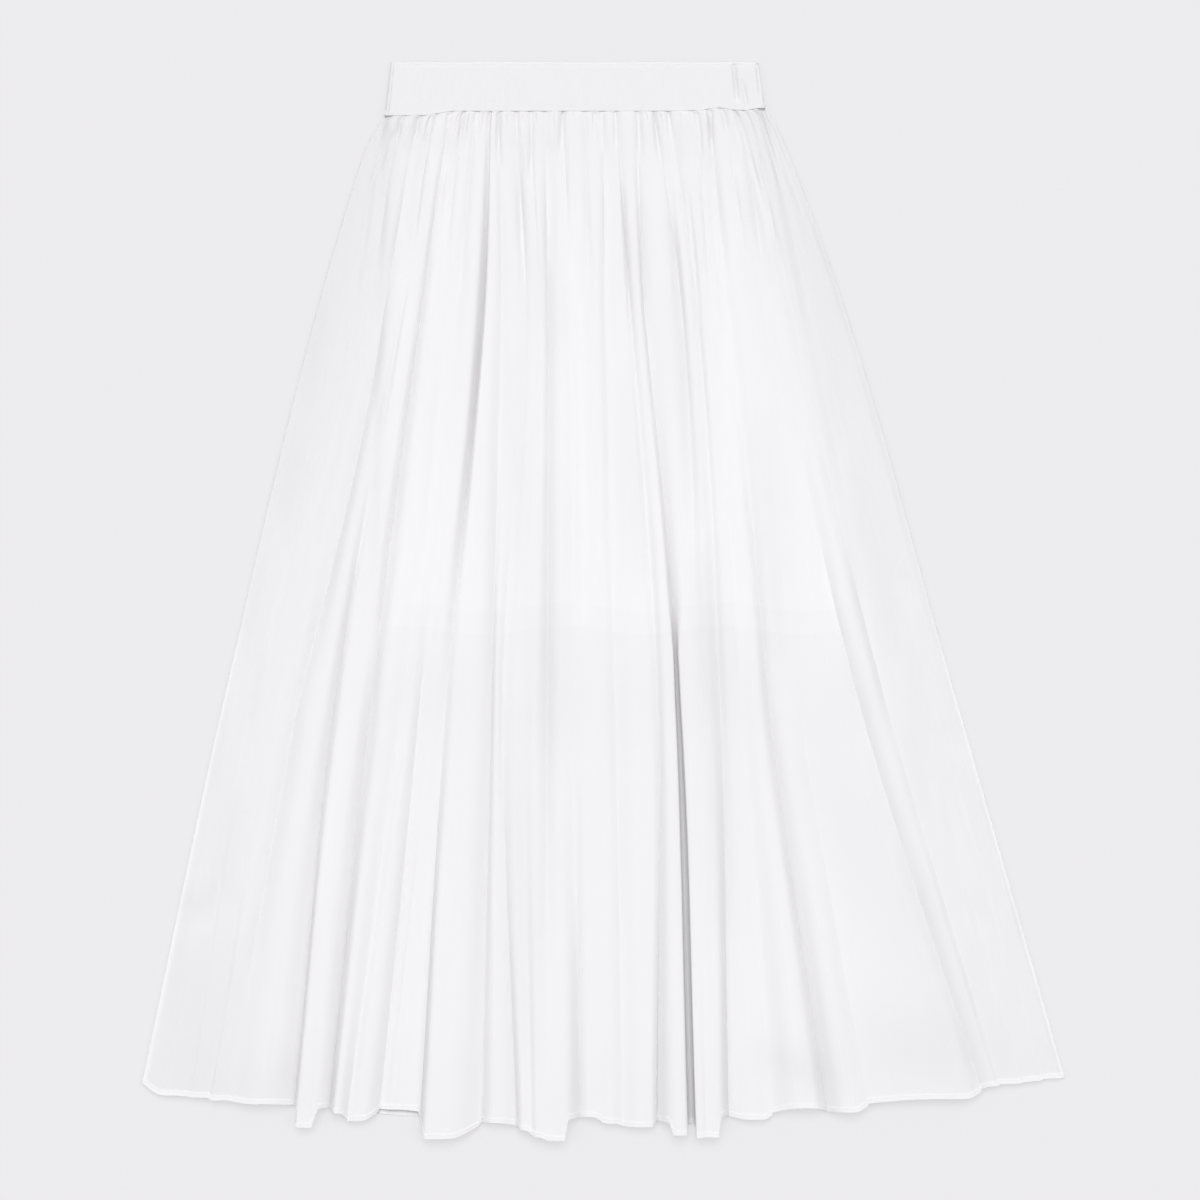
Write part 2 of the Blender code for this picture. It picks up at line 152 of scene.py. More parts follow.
@dataclass(frozen=True)
class Slot:
    """An open gap along a valley line, between two folds that stand steeply, in millimetres.

    line: which valley line of the table.
    places: distances below the waist seam.
    widths: the gap's width at each of them.
    """

    line: int
    places: tuple[float, ...]
    widths: tuple[float, ...]

    def width(self, distance: np.ndarray) -> np.ndarray:
        """The gap's width at each distance."""
        return np.interp(distance, self.places, self.widths)


# Folds whose rising or falling side hangs square at the hem, up to the fold's top
SQUARE_RISING = (4, 16)
SQUARE_FALLING = (4, 12, 18)

# The dark gap at the upper left, and the long one that opens towards the hem
SLOTS = (
    Slot(8, (18.0, 30.0, 60.0, 150.0, 260.0, 330.0, 390.0), (0.0, 0.8, 0.95, 0.7, 0.9, 0.5, 0.0)),
    Slot(17, (225.0, 300.0, 400.0, 450.0, 600.0, 800.0), (0.0, 0.35, 0.6, 2.7, 4.6, 5.2)),
)


# How far along half a wave a crease starts, and how bluntly it ends
CREASE_START = 0.12
CREASE_BLUNT = 0.7


@dataclass(frozen=True)
class Crease:
    """A soft trough pressed into the cloth, or a ridge where its depth is negative, in millimetres.

    x, y: where it starts, from the middle of the skirt and from the waist seam.
    to_x, to_y: where it ends.
    wide: half its width.
    depth: how deep its middle lies.
    """

    x: float
    y: float
    to_x: float
    to_y: float
    wide: float
    depth: float

    def height(self, x: np.ndarray, y: np.ndarray) -> np.ndarray:
        """How much the crease raises the cloth at each place."""
        run = math.hypot(self.to_x - self.x, self.to_y - self.y)
        ahead = (self.to_x - self.x) / run, (self.to_y - self.y) / run
        forward = (x - self.x) * ahead[0] + (y - self.y) * ahead[1]
        aside = (x - self.x) * ahead[1] - (y - self.y) * ahead[0]
        share = np.clip(forward / run, 0.0, 1.0)
        beyond = forward - share * run
        fade = np.sin(math.pi * (CREASE_START + (1.0 - 2.0 * CREASE_START) * share)) ** CREASE_BLUNT
        return -self.depth * fade * np.exp(-(aside ** 2 + beyond ** 2) / self.wide ** 2)


def creases(*rows: tuple[float, ...]) -> tuple[Crease, ...]:
    """Read creases from rows of a table."""
    return tuple(Crease(*row) for row in rows)


# Small creases of the front, as uneven as pressed and folded cloth has them
FRONT_CREASES = creases(
    #      x      y     to x    to y  wide  depth
    (-272, -320, -259, -334, 2.4, 1.2),
    (235, -379, 255, -391, 4.6, 1.2),
    (258, -352, 268, -372, 5.0, 0.9),
    (272, -517, 298, -513, 3.6, 1.0),
    (350, -733, 367, -716, 3.2, 0.8),
    (296, -650, 318, -668, 7.0, 1.4),
    (318, -668, 342, -655, 6.0, -1.1),
    (-349, -640, -322, -628, 8.0, -1.4),
    (-345, -664, -318, -652, 9.0, 1.6),
    (-318, -628, -300, -655, 7.0, 1.0),
    (-186, -520, -170, -525, 4.0, -1.0),
    (-331, -742, -320, -700, 9.0, 0.7),
    (-160, -150, -150, -190, 5.0, 0.5),
    (-72, -130, -60, -170, 6.0, -0.6),
    (180, -250, 215, -330, 9.0, 0.7),
    (212, -290, 232, -345, 6.0, -0.4),
    (285, -560, 305, -620, 8.0, 0.6),
    (-8, -470, 4, -540, 9.0, -0.6),
    (-154, -600, -180, -816, 1.3, 1.5),
    (-147, -452, -158, -560, 1.2, 0.7),
)

# Gathers of the front at the waist seam: short puckers, and the longer ones that run down from it
WAIST_GATHERS = creases(
    #      x      y     to x    to y  wide  depth
    (-183, 4, -191, -22, 1.6, 0.9),
    (-172, -16, -192, -62, 1.7, 1.1),
    (-166, 6, -169, -24, 1.5, 0.9),
    (-151, 8, -154, -18, 1.6, 1.4),
    (-141, 6, -146, -24, 1.8, 1.0),
    (-127, 6, -129, -12, 1.3, 0.8),
    (-115.5, 7, -118, -22, 1.6, 1.0),
    (-103, 6, -103, -24, 1.5, 1.1),
    (-98.5, 8, -99, -17, 1.2, 0.8),
    (-93.5, 8, -95, -14, 1.2, 1.0),
    (-86, 6, -87.5, -42, 1.6, 1.0),
    (-72.5, 8, -70, -20, 1.4, 1.0),
    (-58.5, 0, -60.5, -58, 1.7, 1.0),
    (-69, -52, -66.5, -140, 1.8, 1.2),
    (-45, 6, -46, -16, 1.3, 0.7),
    (-33.5, 8, -37, -52, 1.8, 1.5),
    (-9, 8, -6.5, -16, 1.3, 1.2),
    (-4.5, 6, -2.5, -26, 1.4, 1.3),
    (8, 6, 9.5, -28, 1.4, 1.2),
    (15, -62, 21, -168, 1.4, 1.2),
    (26, -30, 33, -170, 1.6, 1.2),
    (28.5, 4, 30, -38, 1.6, 1.2),
    (41, -2, 45, -38, 1.3, 1.3),
    (52, 6, 54, -20, 1.5, 1.1),
    (53, -40, 63, -170, 3.0, 1.5),
    (69, -68, 78, -160, 1.4, 1.3),
    (75.5, 8, 77, -14, 1.2, 0.9),
    (78, -4, 79.5, -36, 1.5, 1.4),
    (88, 8, 87.5, -34, 1.6, 1.4),
    (96.5, 8, 100, -14, 1.3, 0.9),
    (86, -50, 95, -190, 3.2, 0.9),
    (107, 4, 111, -16, 1.4, 0.7),
    (112, -6, 136, -96, 2.0, 1.0),
    (127, 4, 144, -44, 1.5, 0.8),
    (131, 2, 154, -52, 1.5, 0.8),
    (150, -44, 186, -126, 1.9, 0.4),
    (-148, -24, -157, -100, 4.6, 1.3),
    (-126, -30, -133, -110, 4.4, 1.2),
    (-72, -30, -67, -110, 4.4, 1.3),
    (-44, -30, -43, -120, 5.0, 1.5),
    (4, -36, 6, -120, 4.6, 1.2),
    (88, -40, 98, -120, 4.6, 1.3),
    (118, -40, 128, -110, 4.6, 1.2),
    (-162, -40, -174, -110, 5.0, -1.2),
    (-138, -40, -145, -110, 4.4, -1.0),
    (-56, -50, -54, -130, 4.6, -0.9),
    (76, -50, 82, -120, 4.6, -1.0),
    (108, -50, 118, -140, 5.0, -1.2),
    (-84, 4, -82, -40, 2.4, -0.8),
    (-68, -12, -63, -46, 2.0, -0.7),
    (-28, -24, -27, -110, 3.4, -1.0),
    (-7, -40, -1, -90, 2.6, -0.5),
    (37, 4, 40, -12, 2.0, -0.7),
    (47, -46, 56, -90, 2.6, -0.8),
    (64, 6, 66, -34, 2.6, -0.9),
    (83, 4, 83.5, -14, 1.8, -0.8),
    (101, -20, 105, -64, 3.2, -0.9),
    (124, -40, 142, -96, 2.6, -0.7),
    (-131, -48, -139, -96, 2.2, -1.1),
    (-48, -50, -47, -94, 2.0, -0.5),
    (-1, -50, 0, -94, 2.0, -0.6),
    (136, -40, 152, -94, 2.4, -0.5),
)

# Painted shade in patches of the front, for the soft shading between its folds; painted light where the depth
# is negative
PAINTED_SHADE_PATCHES = creases(
    #      x      y     to x    to y  wide  depth
    (-312, -690, -332, -790, 44.0, 0.30),
    (-330, -800, -262, -806, 26.0, 0.20),
    (-300, -560, -316, -640, 16.0, 0.14),
    (-250, -260, -262, -330, 11.0, 0.20),
    (-232, -150, -246, -240, 9.0, 0.16),
    (-44, -300, -42, -520, 16.0, 0.24),
    (-60, -110, -40, -190, 16.0, 0.16),
    (-72, -500, -64, -760, 16.0, 0.28),
    (-72, -200, -68, -430, 14.0, 0.22),
    (14, -230, 28, -380, 13.0, 0.22),
    (22, -80, 30, -180, 9.0, 0.10),
    (56, -150, 76, -330, 9.0, 0.26),
    (86, -360, 96, -660, 14.0, 0.32),
    (208, -300, 236, -440, 12.0, 0.22),
    (248, -440, 262, -560, 10.0, 0.16),
    (206, -755, 300, -770, 38.0, 0.36),
    (130, -770, 190, -790, 14.0, 0.30),
    (-262, -770, -258, -800, 10.0, 0.20),
    (176, -520, 290, -740, 36.0, 0.28),
    (128, -260, 142, -440, 16.0, 0.30),
    (78, -370, 90, -480, 13.0, 0.30),
    (-148, -40, -160, -120, 5.0, 0.16),
    (-92, -300, -94, -470, 7.0, 0.16),
    (110, -60, 134, -130, 6.0, 0.14),
    (-26, -90, -20, -420, 9.0, -0.24),
    (-216, -500, -236, -640, 12.0, -0.10),
    (-176, -340, -184, -480, 12.0, -0.14),
    (98, -90, 112, -420, 9.0, -0.20),
    (-118, -60, -152, -190, 7.0, -0.12),
)

# Creases of the back, which lies on the table
BACK_CREASES = creases(
    #      x      y     to x    to y  wide  depth
    (-240, -330, -205, -352, 6.0, -0.5),
    (-120, -600, -96, -640, 8.0, -0.6),
    (60, -420, 84, -455, 7.0, -0.5),
    (190, -640, 232, -655, 8.0, -0.6),
    (262, -500, 280, -535, 6.0, -0.5),
    (-20, -250, -2, -290, 7.0, -0.4),
)


def ease(value: np.ndarray, start: float, end: float) -> np.ndarray:
    """Rise smoothly from 0 at start to 1 at end."""
    share = np.clip((value - start) / (end - start), 0.0, 1.0)
    return share * share * (3.0 - 2.0 * share)


def along(values: Sequence[float], distance: np.ndarray) -> np.ndarray:
    """Read a smooth curve through values given at the stations.

    Args:
        values: One value for each station.
        distance: Distances below the waist seam, in millimetres.

    Returns:
        The curve's value at each distance.
    """
    known = np.asarray(values, dtype=float)
    widths = np.diff(STATIONS)
    slopes = np.diff(known) / widths
    tangents = np.concatenate((slopes[:1], 0.5 * (slopes[:-1] + slopes[1:]), slopes[-1:]))
    span = np.clip(np.searchsorted(STATIONS, distance, side="right") - 1, 0, len(widths) - 1)
    t = (distance - STATIONS[span]) / widths[span]
    straight = known[span] + (known[span + 1] - known[span]) * t * t * (3.0 - 2.0 * t)
    bend = t * (1.0 - t) * widths[span]
    inside = straight + bend * (tangents[span] * (1.0 - t) - tangents[span + 1] * t)
    beyond = known[-1] + tangents[-1] * (distance - STATIONS[-1])
    return np.where(t > 1.0, beyond, inside)


# How many waves make up a ripple, and how much their lengths vary
RIPPLE_COUNT = 7
RIPPLE_LENGTHS = (0.6, 1.7)


def ripples(u: np.ndarray, v: np.ndarray, seed: int, across: float, down: float) -> np.ndarray:
    """Draw uneven low waves over a surface, between about -1 and 1.

    Args:
        u: Places across the cloth, in millimetres.
        v: Places down the cloth, in millimetres.
        seed: Which waves to draw.
        across: Typical wave length across, in millimetres.
        down: Typical wave length down, in millimetres.

    Returns:
        The waves' height at each place.
    """
    draw = np.random.default_rng(seed)
    total = np.zeros(np.broadcast(u, v).shape)
    for _ in range(RIPPLE_COUNT):
        phase = draw.uniform(0.0, 2.0 * math.pi)
        wide = across * draw.uniform(*RIPPLE_LENGTHS)
        tall = down * draw.uniform(*RIPPLE_LENGTHS) * draw.choice((-1.0, 1.0))
        total += np.sin(2.0 * math.pi * (u / wide + v / tall) + phase)
    return total / math.sqrt(2.0 * RIPPLE_COUNT)


# The back's hem: places across, and how far below the waist seam it lies there. It shows where the
# front's hem is shorter.
BACK_HEM = (
    (-383.0, 793.0), (-341.0, 803.0), (-308.0, 805.5), (-251.0, 810.0), (-208.0, 814.0),
    (-196.0, 818.2), (-183.0, 820.2), (-149.0, 822.4), (-100.0, 823.5), (-40.0, 823.2),
    (-20.0, 821.6), (-3.0, 822.4), (44.0, 823.0), (71.0, 823.0), (94.0, 820.8),
    (108.0, 819.4), (137.0, 815.0), (161.0, 812.0), (216.0, 807.5), (264.0, 804.5),
    (312.0, 798.0), (346.0, 792.5), (383.0, 790.5),
)


@dataclass(frozen=True)
class SkirtForm:
    """The laid skirt's measurements in millimetres, x from the middle of its box, y from the waist seam.

    Where the solids have a measurement, it has the same value here. The walls are thinner than the
    solids', and their upper faces lie at the same heights.

    fan, fan_at: how far the outer folds fan out below the band, and where they do so most.
    pucker_run: how far down the gathers run, for each millimetre of their depth.
    back_pucker, back_pucker_run: how far the back's gathers lift the layers, and how far down.
    relief: share of the fold table's heights that is kept at each station.
    shallowest: the least share of its folds' height that a valley drops; below 0 it is a ridge.
    sharpened: depth shares between which a valley turns into a crease.
    back_flutes: distances between which the back starts to follow the front's flutes.
    back_share, back_slope: height of the back's flutes against the front's, and their steepest rise.
    lining_*: x of the lining's sides at the waist and at its hem, its lengths, and how softly the
        front comes down from it at the sides and at the end.
    """

    cloth: float = 1.2
    lining: float = 1.0
    gap: float = 0.3
    band_middle: float = -24.0
    band_foot_width: float = 313.0
    fan: float = 4.4
    fan_at: float = 40.0
    pucker_run: float = 14.0
    back_pucker: float = 1.0
    back_pucker_run: float = 26.0
    relief: tuple[float, ...] = (1.0, 0.95, 0.68, 0.52)
    shallowest: float = -0.3
    sharpened: tuple[float, float] = (0.15, 0.45)
    back_flutes: tuple[float, float] = (520.0, 809.0)
    back_share: float = 0.3
    back_slope: float = 0.12
    lining_waist: tuple[float, float] = (-169.0, 121.0)
    lining_hem: tuple[float, float] = (-179.0, 202.0)
    front_lining_length: float = 405.0
    back_lining_length: float = 424.0
    lining_side_ease: tuple[float, float] = (4.0, 14.0)
    lining_end_ease: tuple[float, float] = (440.0, 520.0)

    @property
    def side_height(self) -> float:
        """Height at which the front and the back meet along the side seams."""
        return self.cloth + 0.5 * self.gap

    def line_x(self, fold: Fold, distance: np.ndarray) -> np.ndarray:
        """Place of a valley line across the skirt."""
        aside = (fold.waist - self.band_middle) / (0.5 * self.band_foot_width)
        down = distance / self.fan_at
        bend = np.clip((distance - STATIONS[1]) / (STATIONS[2] - STATIONS[1]), 0.0, 1.0)
        bowed = along(fold.line, distance) + fold.bow * np.sin(math.pi * bend)
        return bowed + self.fan * aside ** 3 * down * np.exp(1.0 - down)

    def fold_height(self, index: int, distance: np.ndarray) -> np.ndarray:
        """Height of the fold right of a valley line above the layers below it."""
        left, right = FOLDS[index], FOLDS[index + 1]
        deep = 0.5 * (left.pucker + right.pucker)
        gather = deep * np.exp(-(distance / (self.pucker_run * deep)) ** 2)
        return np.maximum(0.0, along(left.rises, distance) * along(self.relief, distance)) + gather

    def depth(self, fold: Fold, distance: np.ndarray) -> np.ndarray:
        """Share of the neighbouring folds' height that a valley drops."""
        return np.clip(along(fold.depths, distance), self.shallowest, 1.0)

    def sharpness(self, index: int, distance: np.ndarray) -> np.ndarray:
        """How sharp a valley line is: the side seams and the shallow valleys are rounded."""
        if index in (0, len(FOLDS) - 1):
            return np.zeros_like(distance)
        return ease(self.depth(FOLDS[index], distance), *self.sharpened)

    def valley_height(self, index: int, distance: np.ndarray) -> np.ndarray:
        """Height of a valley line above the layers below it."""
        near = [self.fold_height(i, distance) for i in (index - 1, index) if 0 <= i < len(FOLDS) - 1]
        return (1.0 - self.depth(FOLDS[index], distance)) * np.minimum.reduce(near)

    def seam_lift(self, distance: np.ndarray) -> np.ndarray:
        """Extra height under the linings near the seam, where the back is gathered."""
        return self.back_pucker * np.exp(-(distance / self.back_pucker_run) ** 2)

    def lining_edges(self, distance: np.ndarray) -> tuple[np.ndarray, np.ndarray]:
        """Left and right sides of the lining at a distance below the seam."""
        share = distance / self.front_lining_length
        left, right = (a + (b - a) * share for a, b in zip(self.lining_waist, self.lining_hem))
        return left, right

    def layers_below(self, x: np.ndarray, distance: np.ndarray) -> np.ndarray:
        """Height at which the front's underside may lie: on the back panel or on the linings."""
        left, right = self.lining_edges(distance)
        outside = np.maximum(left - x, x - right)
        lined = 1.0 - ease(outside, *self.lining_side_ease)
        lined = lined * (1.0 - ease(distance, *self.lining_end_ease))
        linings = 2.0 * (self.lining + self.gap) + self.seam_lift(distance)
        return self.cloth + self.gap + lined * linings

    def slot(self, line: int, distance: np.ndarray) -> np.ndarray:
        """Width of the open gap along a valley line."""
        return sum((slot.width(distance) for slot in SLOTS if slot.line == line), np.zeros_like(distance))

    def back_hem(self, x: float) -> float:
        """How far below the waist seam the back's hem lies at a place across the hem."""
        return float(np.interp(x, *zip(*BACK_HEM)))


@dataclass(frozen=True)
class Rows:
    """Where a panel's sections are taken: a share of the length plus an offset in millimetres.

    under: distances above the seam, where the cloth is sewn in under the waistband.
    waist_run, waist_count: the stretch of gathers and its sections, closest at the seam.
    middle_count: sections between the gathers and the hem.
    hem: distances up from the hem.
    closer: how much closer the gathers' sections lie near the seam.
    """

    middle_count: int
    waist_count: int = 26
    waist_run: float = 72.0
    under: tuple[float, ...] = (5.0, 2.5, 1.0)
    hem: tuple[float, ...] = (12.0, 8.0, 6.2, 5.2, 4.7, 4.2, 3.4, 2.2, 1.1, 0.4, 0.0)
    closer: float = 1.8

    def places(self) -> tuple[np.ndarray, np.ndarray]:
        """The share and the offset of each section."""
        waist = self.waist_run * np.linspace(0.0, 1.0, self.waist_count) ** self.closer
        middle = np.linspace(0.0, 1.0, self.middle_count + 2)[1:-1]
        share = np.concatenate((np.zeros(len(self.under) + len(waist)), middle, np.ones(len(self.hem))))
        offset = np.concatenate((
            -np.array(self.under),
            waist,
            self.waist_run - (self.waist_run + self.hem[0]) * middle,
            -np.array(self.hem),
        ))
        return share, offset


def spline_sections(columns: Sequence[np.ndarray], steps: int) -> np.ndarray:
    """Draw smooth sections through a panel's columns.

    Args:
        columns: Place across, distance and height, one row for each section.
        steps: Points for each span between two columns.

    Returns:
        Points of each section: place across, distance and height.
    """
    points = np.stack(columns, axis=2)
    step = np.diff(points, axis=1)
    chord = np.linalg.norm(step[:, :, ::2], axis=2)[:, :, None] + 1e-6
    slope = step / chord
    before = np.concatenate((slope[:, :1], slope), axis=1)
    after = np.concatenate((slope, slope[:, -1:]), axis=1)
    wide_before = np.concatenate((chord[:, :1], chord), axis=1)
    wide_after = np.concatenate((chord, chord[:, -1:]), axis=1)
    tangents = (wide_before * after + wide_after * before) / (wide_before + wide_after)
    parts = []
    for i in range(steps):
        t = i / steps
        near = points[:, :-1] * (2 * t ** 3 - 3 * t ** 2 + 1) + points[:, 1:] * (3 * t ** 2 - 2 * t ** 3)
        turn = tangents[:, :-1] * (t ** 3 - 2 * t ** 2 + t) + tangents[:, 1:] * (t ** 3 - t ** 2)
        parts.append(near + turn * chord)
    drawn = np.stack(parts, axis=2).reshape(len(points), -1, 3)
    return np.concatenate((drawn, points[:, -1:]), axis=1)


@dataclass
class Surface:
    """A sheet of cloth as rows and columns of places in the skirt's own millimetres.

    x: places across. distance: how far below the waist seam. z: heights of its outer face.
    layers: how white it looks from a second layer, and from painted shade and highlight, 0 to 1. wall: share
    of its full wall.
    y_shift: how far each place is moved up. crisp: where a column is a sharp crease.
    """

    x: np.ndarray
    distance: np.ndarray
    z: np.ndarray
    layers: np.ndarray
    wall: np.ndarray
    y_shift: np.ndarray
    crisp: np.ndarray | None = None

    def cloth_uv(self) -> np.ndarray:
        """The cloth's own coordinates in metres: along each row from its middle, and down."""
        run = np.hypot(np.diff(self.x, axis=1), np.diff(self.z, axis=1))
        arc = np.concatenate((np.zeros((len(run), 1)), np.cumsum(run, axis=1)), axis=1)
        arc -= arc[:, arc.shape[1] // 2][:, None]
        return np.stack((arc, -self.distance), axis=2) * MM

    def points(self, place: Vector) -> np.ndarray:
        """Its places in the part's frame, in metres, with the seam's middle at a given place."""
        y = self.y_shift - self.distance
        return np.stack((self.x, y, self.z), axis=2) * MM + np.array(place)


def add_object(name: str, bm: bmesh.types.BMesh) -> bpy.types.Object:
    """Turn a finished bmesh into an object of the scene, and free it."""
    mesh = bpy.data.meshes.new(name)
    bm.to_mesh(mesh)
    bm.free()
    piece = bpy.data.objects.new(name, mesh)
    bpy.context.collection.objects.link(piece)
    return piece


def make_sheet(name: str, surface: Surface, place: Vector, closed: bool = False) -> bpy.types.Object:
    """Make a sheet's mesh from a grid shaped to its surface.

    Args:
        name: The new piece's name.
        surface: Its form.
        place: Where the seam's middle lies, in metres.
        closed: Whether its last column meets its first.

    Returns:
        The piece, with a cloth UV map, a layers attribute, which also holds painted shade and highlight,
            and a wall vertex group.
    """
    points = surface.points(place)
    cloth_uv = surface.cloth_uv()
    rows, cols = surface.x.shape
    bm = bmesh.new()
    bmesh.ops.create_grid(bm, x_segments=cols - 1, y_segments=rows - 1, size=0.5)
    uv = bm.loops.layers.uv.new("cloth")
    level = bm.verts.layers.float.new("layers")
    weights = bm.verts.layers.deform.verify()
    places = {}
    for vert in bm.verts:
        col = round((vert.co.x + 0.5) * (cols - 1))
        row = rows - 1 - round((vert.co.y + 0.5) * (rows - 1))
        places[vert.index] = (row, col)
        vert.co = points[row, col]
        vert[level] = surface.layers[row, col]
        vert[weights][0] = surface.wall[row, col]
    for face in bm.faces:
        for loop in face.loops:
            loop[uv].uv = cloth_uv[places[loop.vert.index]]
    if surface.crisp is not None:
        for edge in bm.edges:
            first, second = (places[vert.index] for vert in edge.verts)
            edge.smooth = not (first[1] == second[1] and surface.crisp[first] and surface.crisp[second])
    if closed:
        bmesh.ops.remove_doubles(bm, verts=bm.verts, dist=1e-6)
    piece = add_object(name, bm)
    piece.data.shade_smooth()
    piece.vertex_groups.new(name="wall")
    return piece


def dress(piece: bpy.types.Object, material: bpy.types.Material, slot: str, *nodes: str) -> None:
    """Finish a piece: its material, its body and the solids it stands for."""
    piece.data.materials.append(material)
    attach(piece, BODY)
    if nodes:
        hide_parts(*nodes)
    LOG.info("%s: %d faces before its wall", piece.name, len(piece.data.polygons))


def build_sheet(name: str, surface: Surface, place: Vector, thickness: float, material: bpy.types.Material,
                slot: str, node: str, above: bool = False, closed: bool = False) -> bpy.types.Object:
    """Build a finished sheet of cloth.

    Args:
        name: The new piece's name.
        surface: Its form.
        place: Where the seam's middle lies, in metres.
        thickness: Its wall in millimetres.
        material: Its finish.
        slot: Not used.
        node: The solid it stands for.
        above: Whether the wall lies above its faces.
        closed: Whether its last column meets its first.

    Returns:
        The piece.
    """
    piece = make_sheet(name, surface, place, closed)
    wall = piece.modifiers.new("wall", "SOLIDIFY")
    wall.thickness = thickness * MM
    wall.offset = 1.0 if above else -1.0
    wall.vertex_group = "wall"
    dress(piece, material, slot, node)
    return piece


def to_linear(hex_colour: str) -> tuple[float, float, float, float]:
    """Turn an sRGB hex colour into linear values with full alpha."""
    channels = [int(hex_colour[i:i + 2], 16) / 255.0 for i in (1, 3, 5)]
    linear = [c / 12.92 if c <= 0.04045 else ((c + 0.055) / 1.055) ** 2.4 for c in channels]
    return (*linear, 1.0)


def add_node(tree: bpy.types.NodeTree, kind: str, settings: dict | None = None,
             inputs: dict | None = None) -> bpy.types.Node:
    """Add one shader node.

    Args:
        tree: The node tree it goes into.
        kind: Blender's name for the node type.
        settings: Properties of the node to set.
        inputs: Values for its sockets, or sockets of other nodes to link to them.

    Returns:
        The new node.
    """
    node = tree.nodes.new(kind)
    for name, value in (settings or {}).items():
        setattr(node, name, value)
    for name, value in (inputs or {}).items():
        if isinstance(value, bpy.types.NodeSocket):
            tree.links.new(value, node.inputs[name])
        else:
            node.inputs[name].default_value = value
    return node


def maths(tree: bpy.types.NodeTree, operation: str, *values: float | bpy.types.NodeSocket,
          clamped: bool = False) -> bpy.types.NodeSocket:
    """Add a maths node.

    Args:
        tree: The node tree it goes into.
        operation: What it works out.
        values: Its numbers, or sockets to link to them.
        clamped: Whether its result is kept between 0 and 1.

    Returns:
        The result's socket.
    """
    settings = {"operation": operation, "use_clamp": clamped}
    return add_node(tree, "ShaderNodeMath", settings, dict(enumerate(values))).outputs["Value"]


def blend(tree: bpy.types.NodeTree, share: bpy.types.NodeSocket,
          first: tuple[float, ...] | bpy.types.NodeSocket, second: str) -> bpy.types.NodeSocket:
    """Blend a linear colour or a colour socket towards a hex colour by a share."""
    inputs = {"Factor": share, "A": first, "B": to_linear(second)}
    return add_node(tree, "ShaderNodeMix", {"data_type": "RGBA"}, inputs).outputs["Result"]


def step_over(tree: bpy.types.NodeTree, value: bpy.types.NodeSocket, start: float, end: float,
              top: float = 1.0) -> bpy.types.NodeSocket:
    """Rise smoothly from 0 where the value is start to top where it is end."""
    inputs = {"Value": value, "From Min": start, "From Max": end, "To Max": top}
    node = add_node(tree, "ShaderNodeMapRange", {"interpolation_type": "SMOOTHSTEP"}, inputs)
    return node.outputs["Result"]


# How often a wave texture of scale 1 repeats in a run of 2 pi
BANDS = 20.0


@dataclass(frozen=True)
class ClothFinish:
    """A woven or knitted white cloth.

    colour, second_colour: the cloth alone, and where another layer lies right behind it; on the skirt's
    panels painted shade and highlight also blend between them.
    yarn_colour: the slightly darker yarns among the others.
    thread: spacing of its threads in millimetres.
    relief: height of its threads in millimetres.
    slub: width and length of its uneven yarns in millimetres.
    yarn_range, yarn_share: how uneven a yarn must be to look darker, and by how much it does.
    slub_relief: height of the uneven yarns against the weave's.
    wander: how far the threads stray from straight lines.
    """

    name: str
    colour: str
    second_colour: str
    yarn_colour: str
    roughness: float
    sheen: float
    thread: float
    relief: float
    slub: tuple[float, float]
    sheen_roughness: float = 0.5
    specular: float = 0.1
    yarn_range: tuple[float, float] = (0.35, 0.7)
    yarn_share: float = 0.05
    slub_relief: float = 0.3
    wander: float = 0.6
    bump: float = 0.3

    def second_layer_and_painted_shade(self, tree: bpy.types.NodeTree) -> bpy.types.NodeSocket:
        """How much a second layer shows through, and the painted shade and highlight, from the piece's
        attribute.
        """
        return add_node(tree, "ShaderNodeAttribute", {"attribute_name": "layers"}).outputs["Fac"]

    def material(self) -> bpy.types.Material:
        """Build the node material.

        Returns:
            A material that reads the piece's cloth UV map, in metres, and its layers attribute.
        """
        material = bpy.data.materials.new(self.name)
        material.use_nodes = True
        tree = material.node_tree
        shader = tree.nodes["Principled BSDF"]
        shader.inputs["Roughness"].default_value = self.roughness
        shader.inputs["Sheen Weight"].default_value = self.sheen
        shader.inputs["Sheen Roughness"].default_value = self.sheen_roughness
        shader.inputs["Specular IOR Level"].default_value = self.specular
        place = add_node(tree, "ShaderNodeUVMap", {"uv_map": "cloth"}).outputs["UV"]
        stretched = add_node(tree, "ShaderNodeVectorMath", {"operation": "MULTIPLY"}, {
            0: place,
            1: (1.0 / (self.slub[0] * MM), 1.0 / (self.slub[1] * MM), 1.0),
        })
        slubs = add_node(tree, "ShaderNodeTexNoise", {"noise_dimensions": "2D"}, {
            "Vector": stretched.outputs["Vector"],
            "Scale": 1.0,
            "Detail": 3.0,
        }).outputs["Fac"]
        yarns = add_node(tree, "ShaderNodeMapRange", None, {
            "Value": slubs,
            "From Min": self.yarn_range[0],
            "From Max": self.yarn_range[1],
            "To Max": self.yarn_share,
        })
        layered = blend(tree, self.second_layer_and_painted_shade(tree), to_linear(self.colour), self.second_colour)
        coloured = blend(tree, yarns.outputs["Result"], layered, self.yarn_colour)
        tree.links.new(coloured, shader.inputs["Base Color"])
        heights = []
        for direction in ("X", "Y"):
            wave = add_node(tree, "ShaderNodeTexWave", {"wave_type": "BANDS", "bands_direction": direction}, {
                "Vector": place,
                "Scale": 2.0 * math.pi / (BANDS * self.thread * MM),
                "Distortion": self.wander,
                "Detail": 1.0,
            })
            heights.append(wave.outputs["Fac"])
        bump = add_node(tree, "ShaderNodeBump", None, {
            "Strength": self.bump,
            "Distance": self.relief * MM,
            "Height": maths(tree, "MULTIPLY_ADD", slubs, self.slub_relief, maths(tree, "ADD", *heights)),
        })
        tree.links.new(bump.outputs["Normal"], shader.inputs["Normal"])
        return material


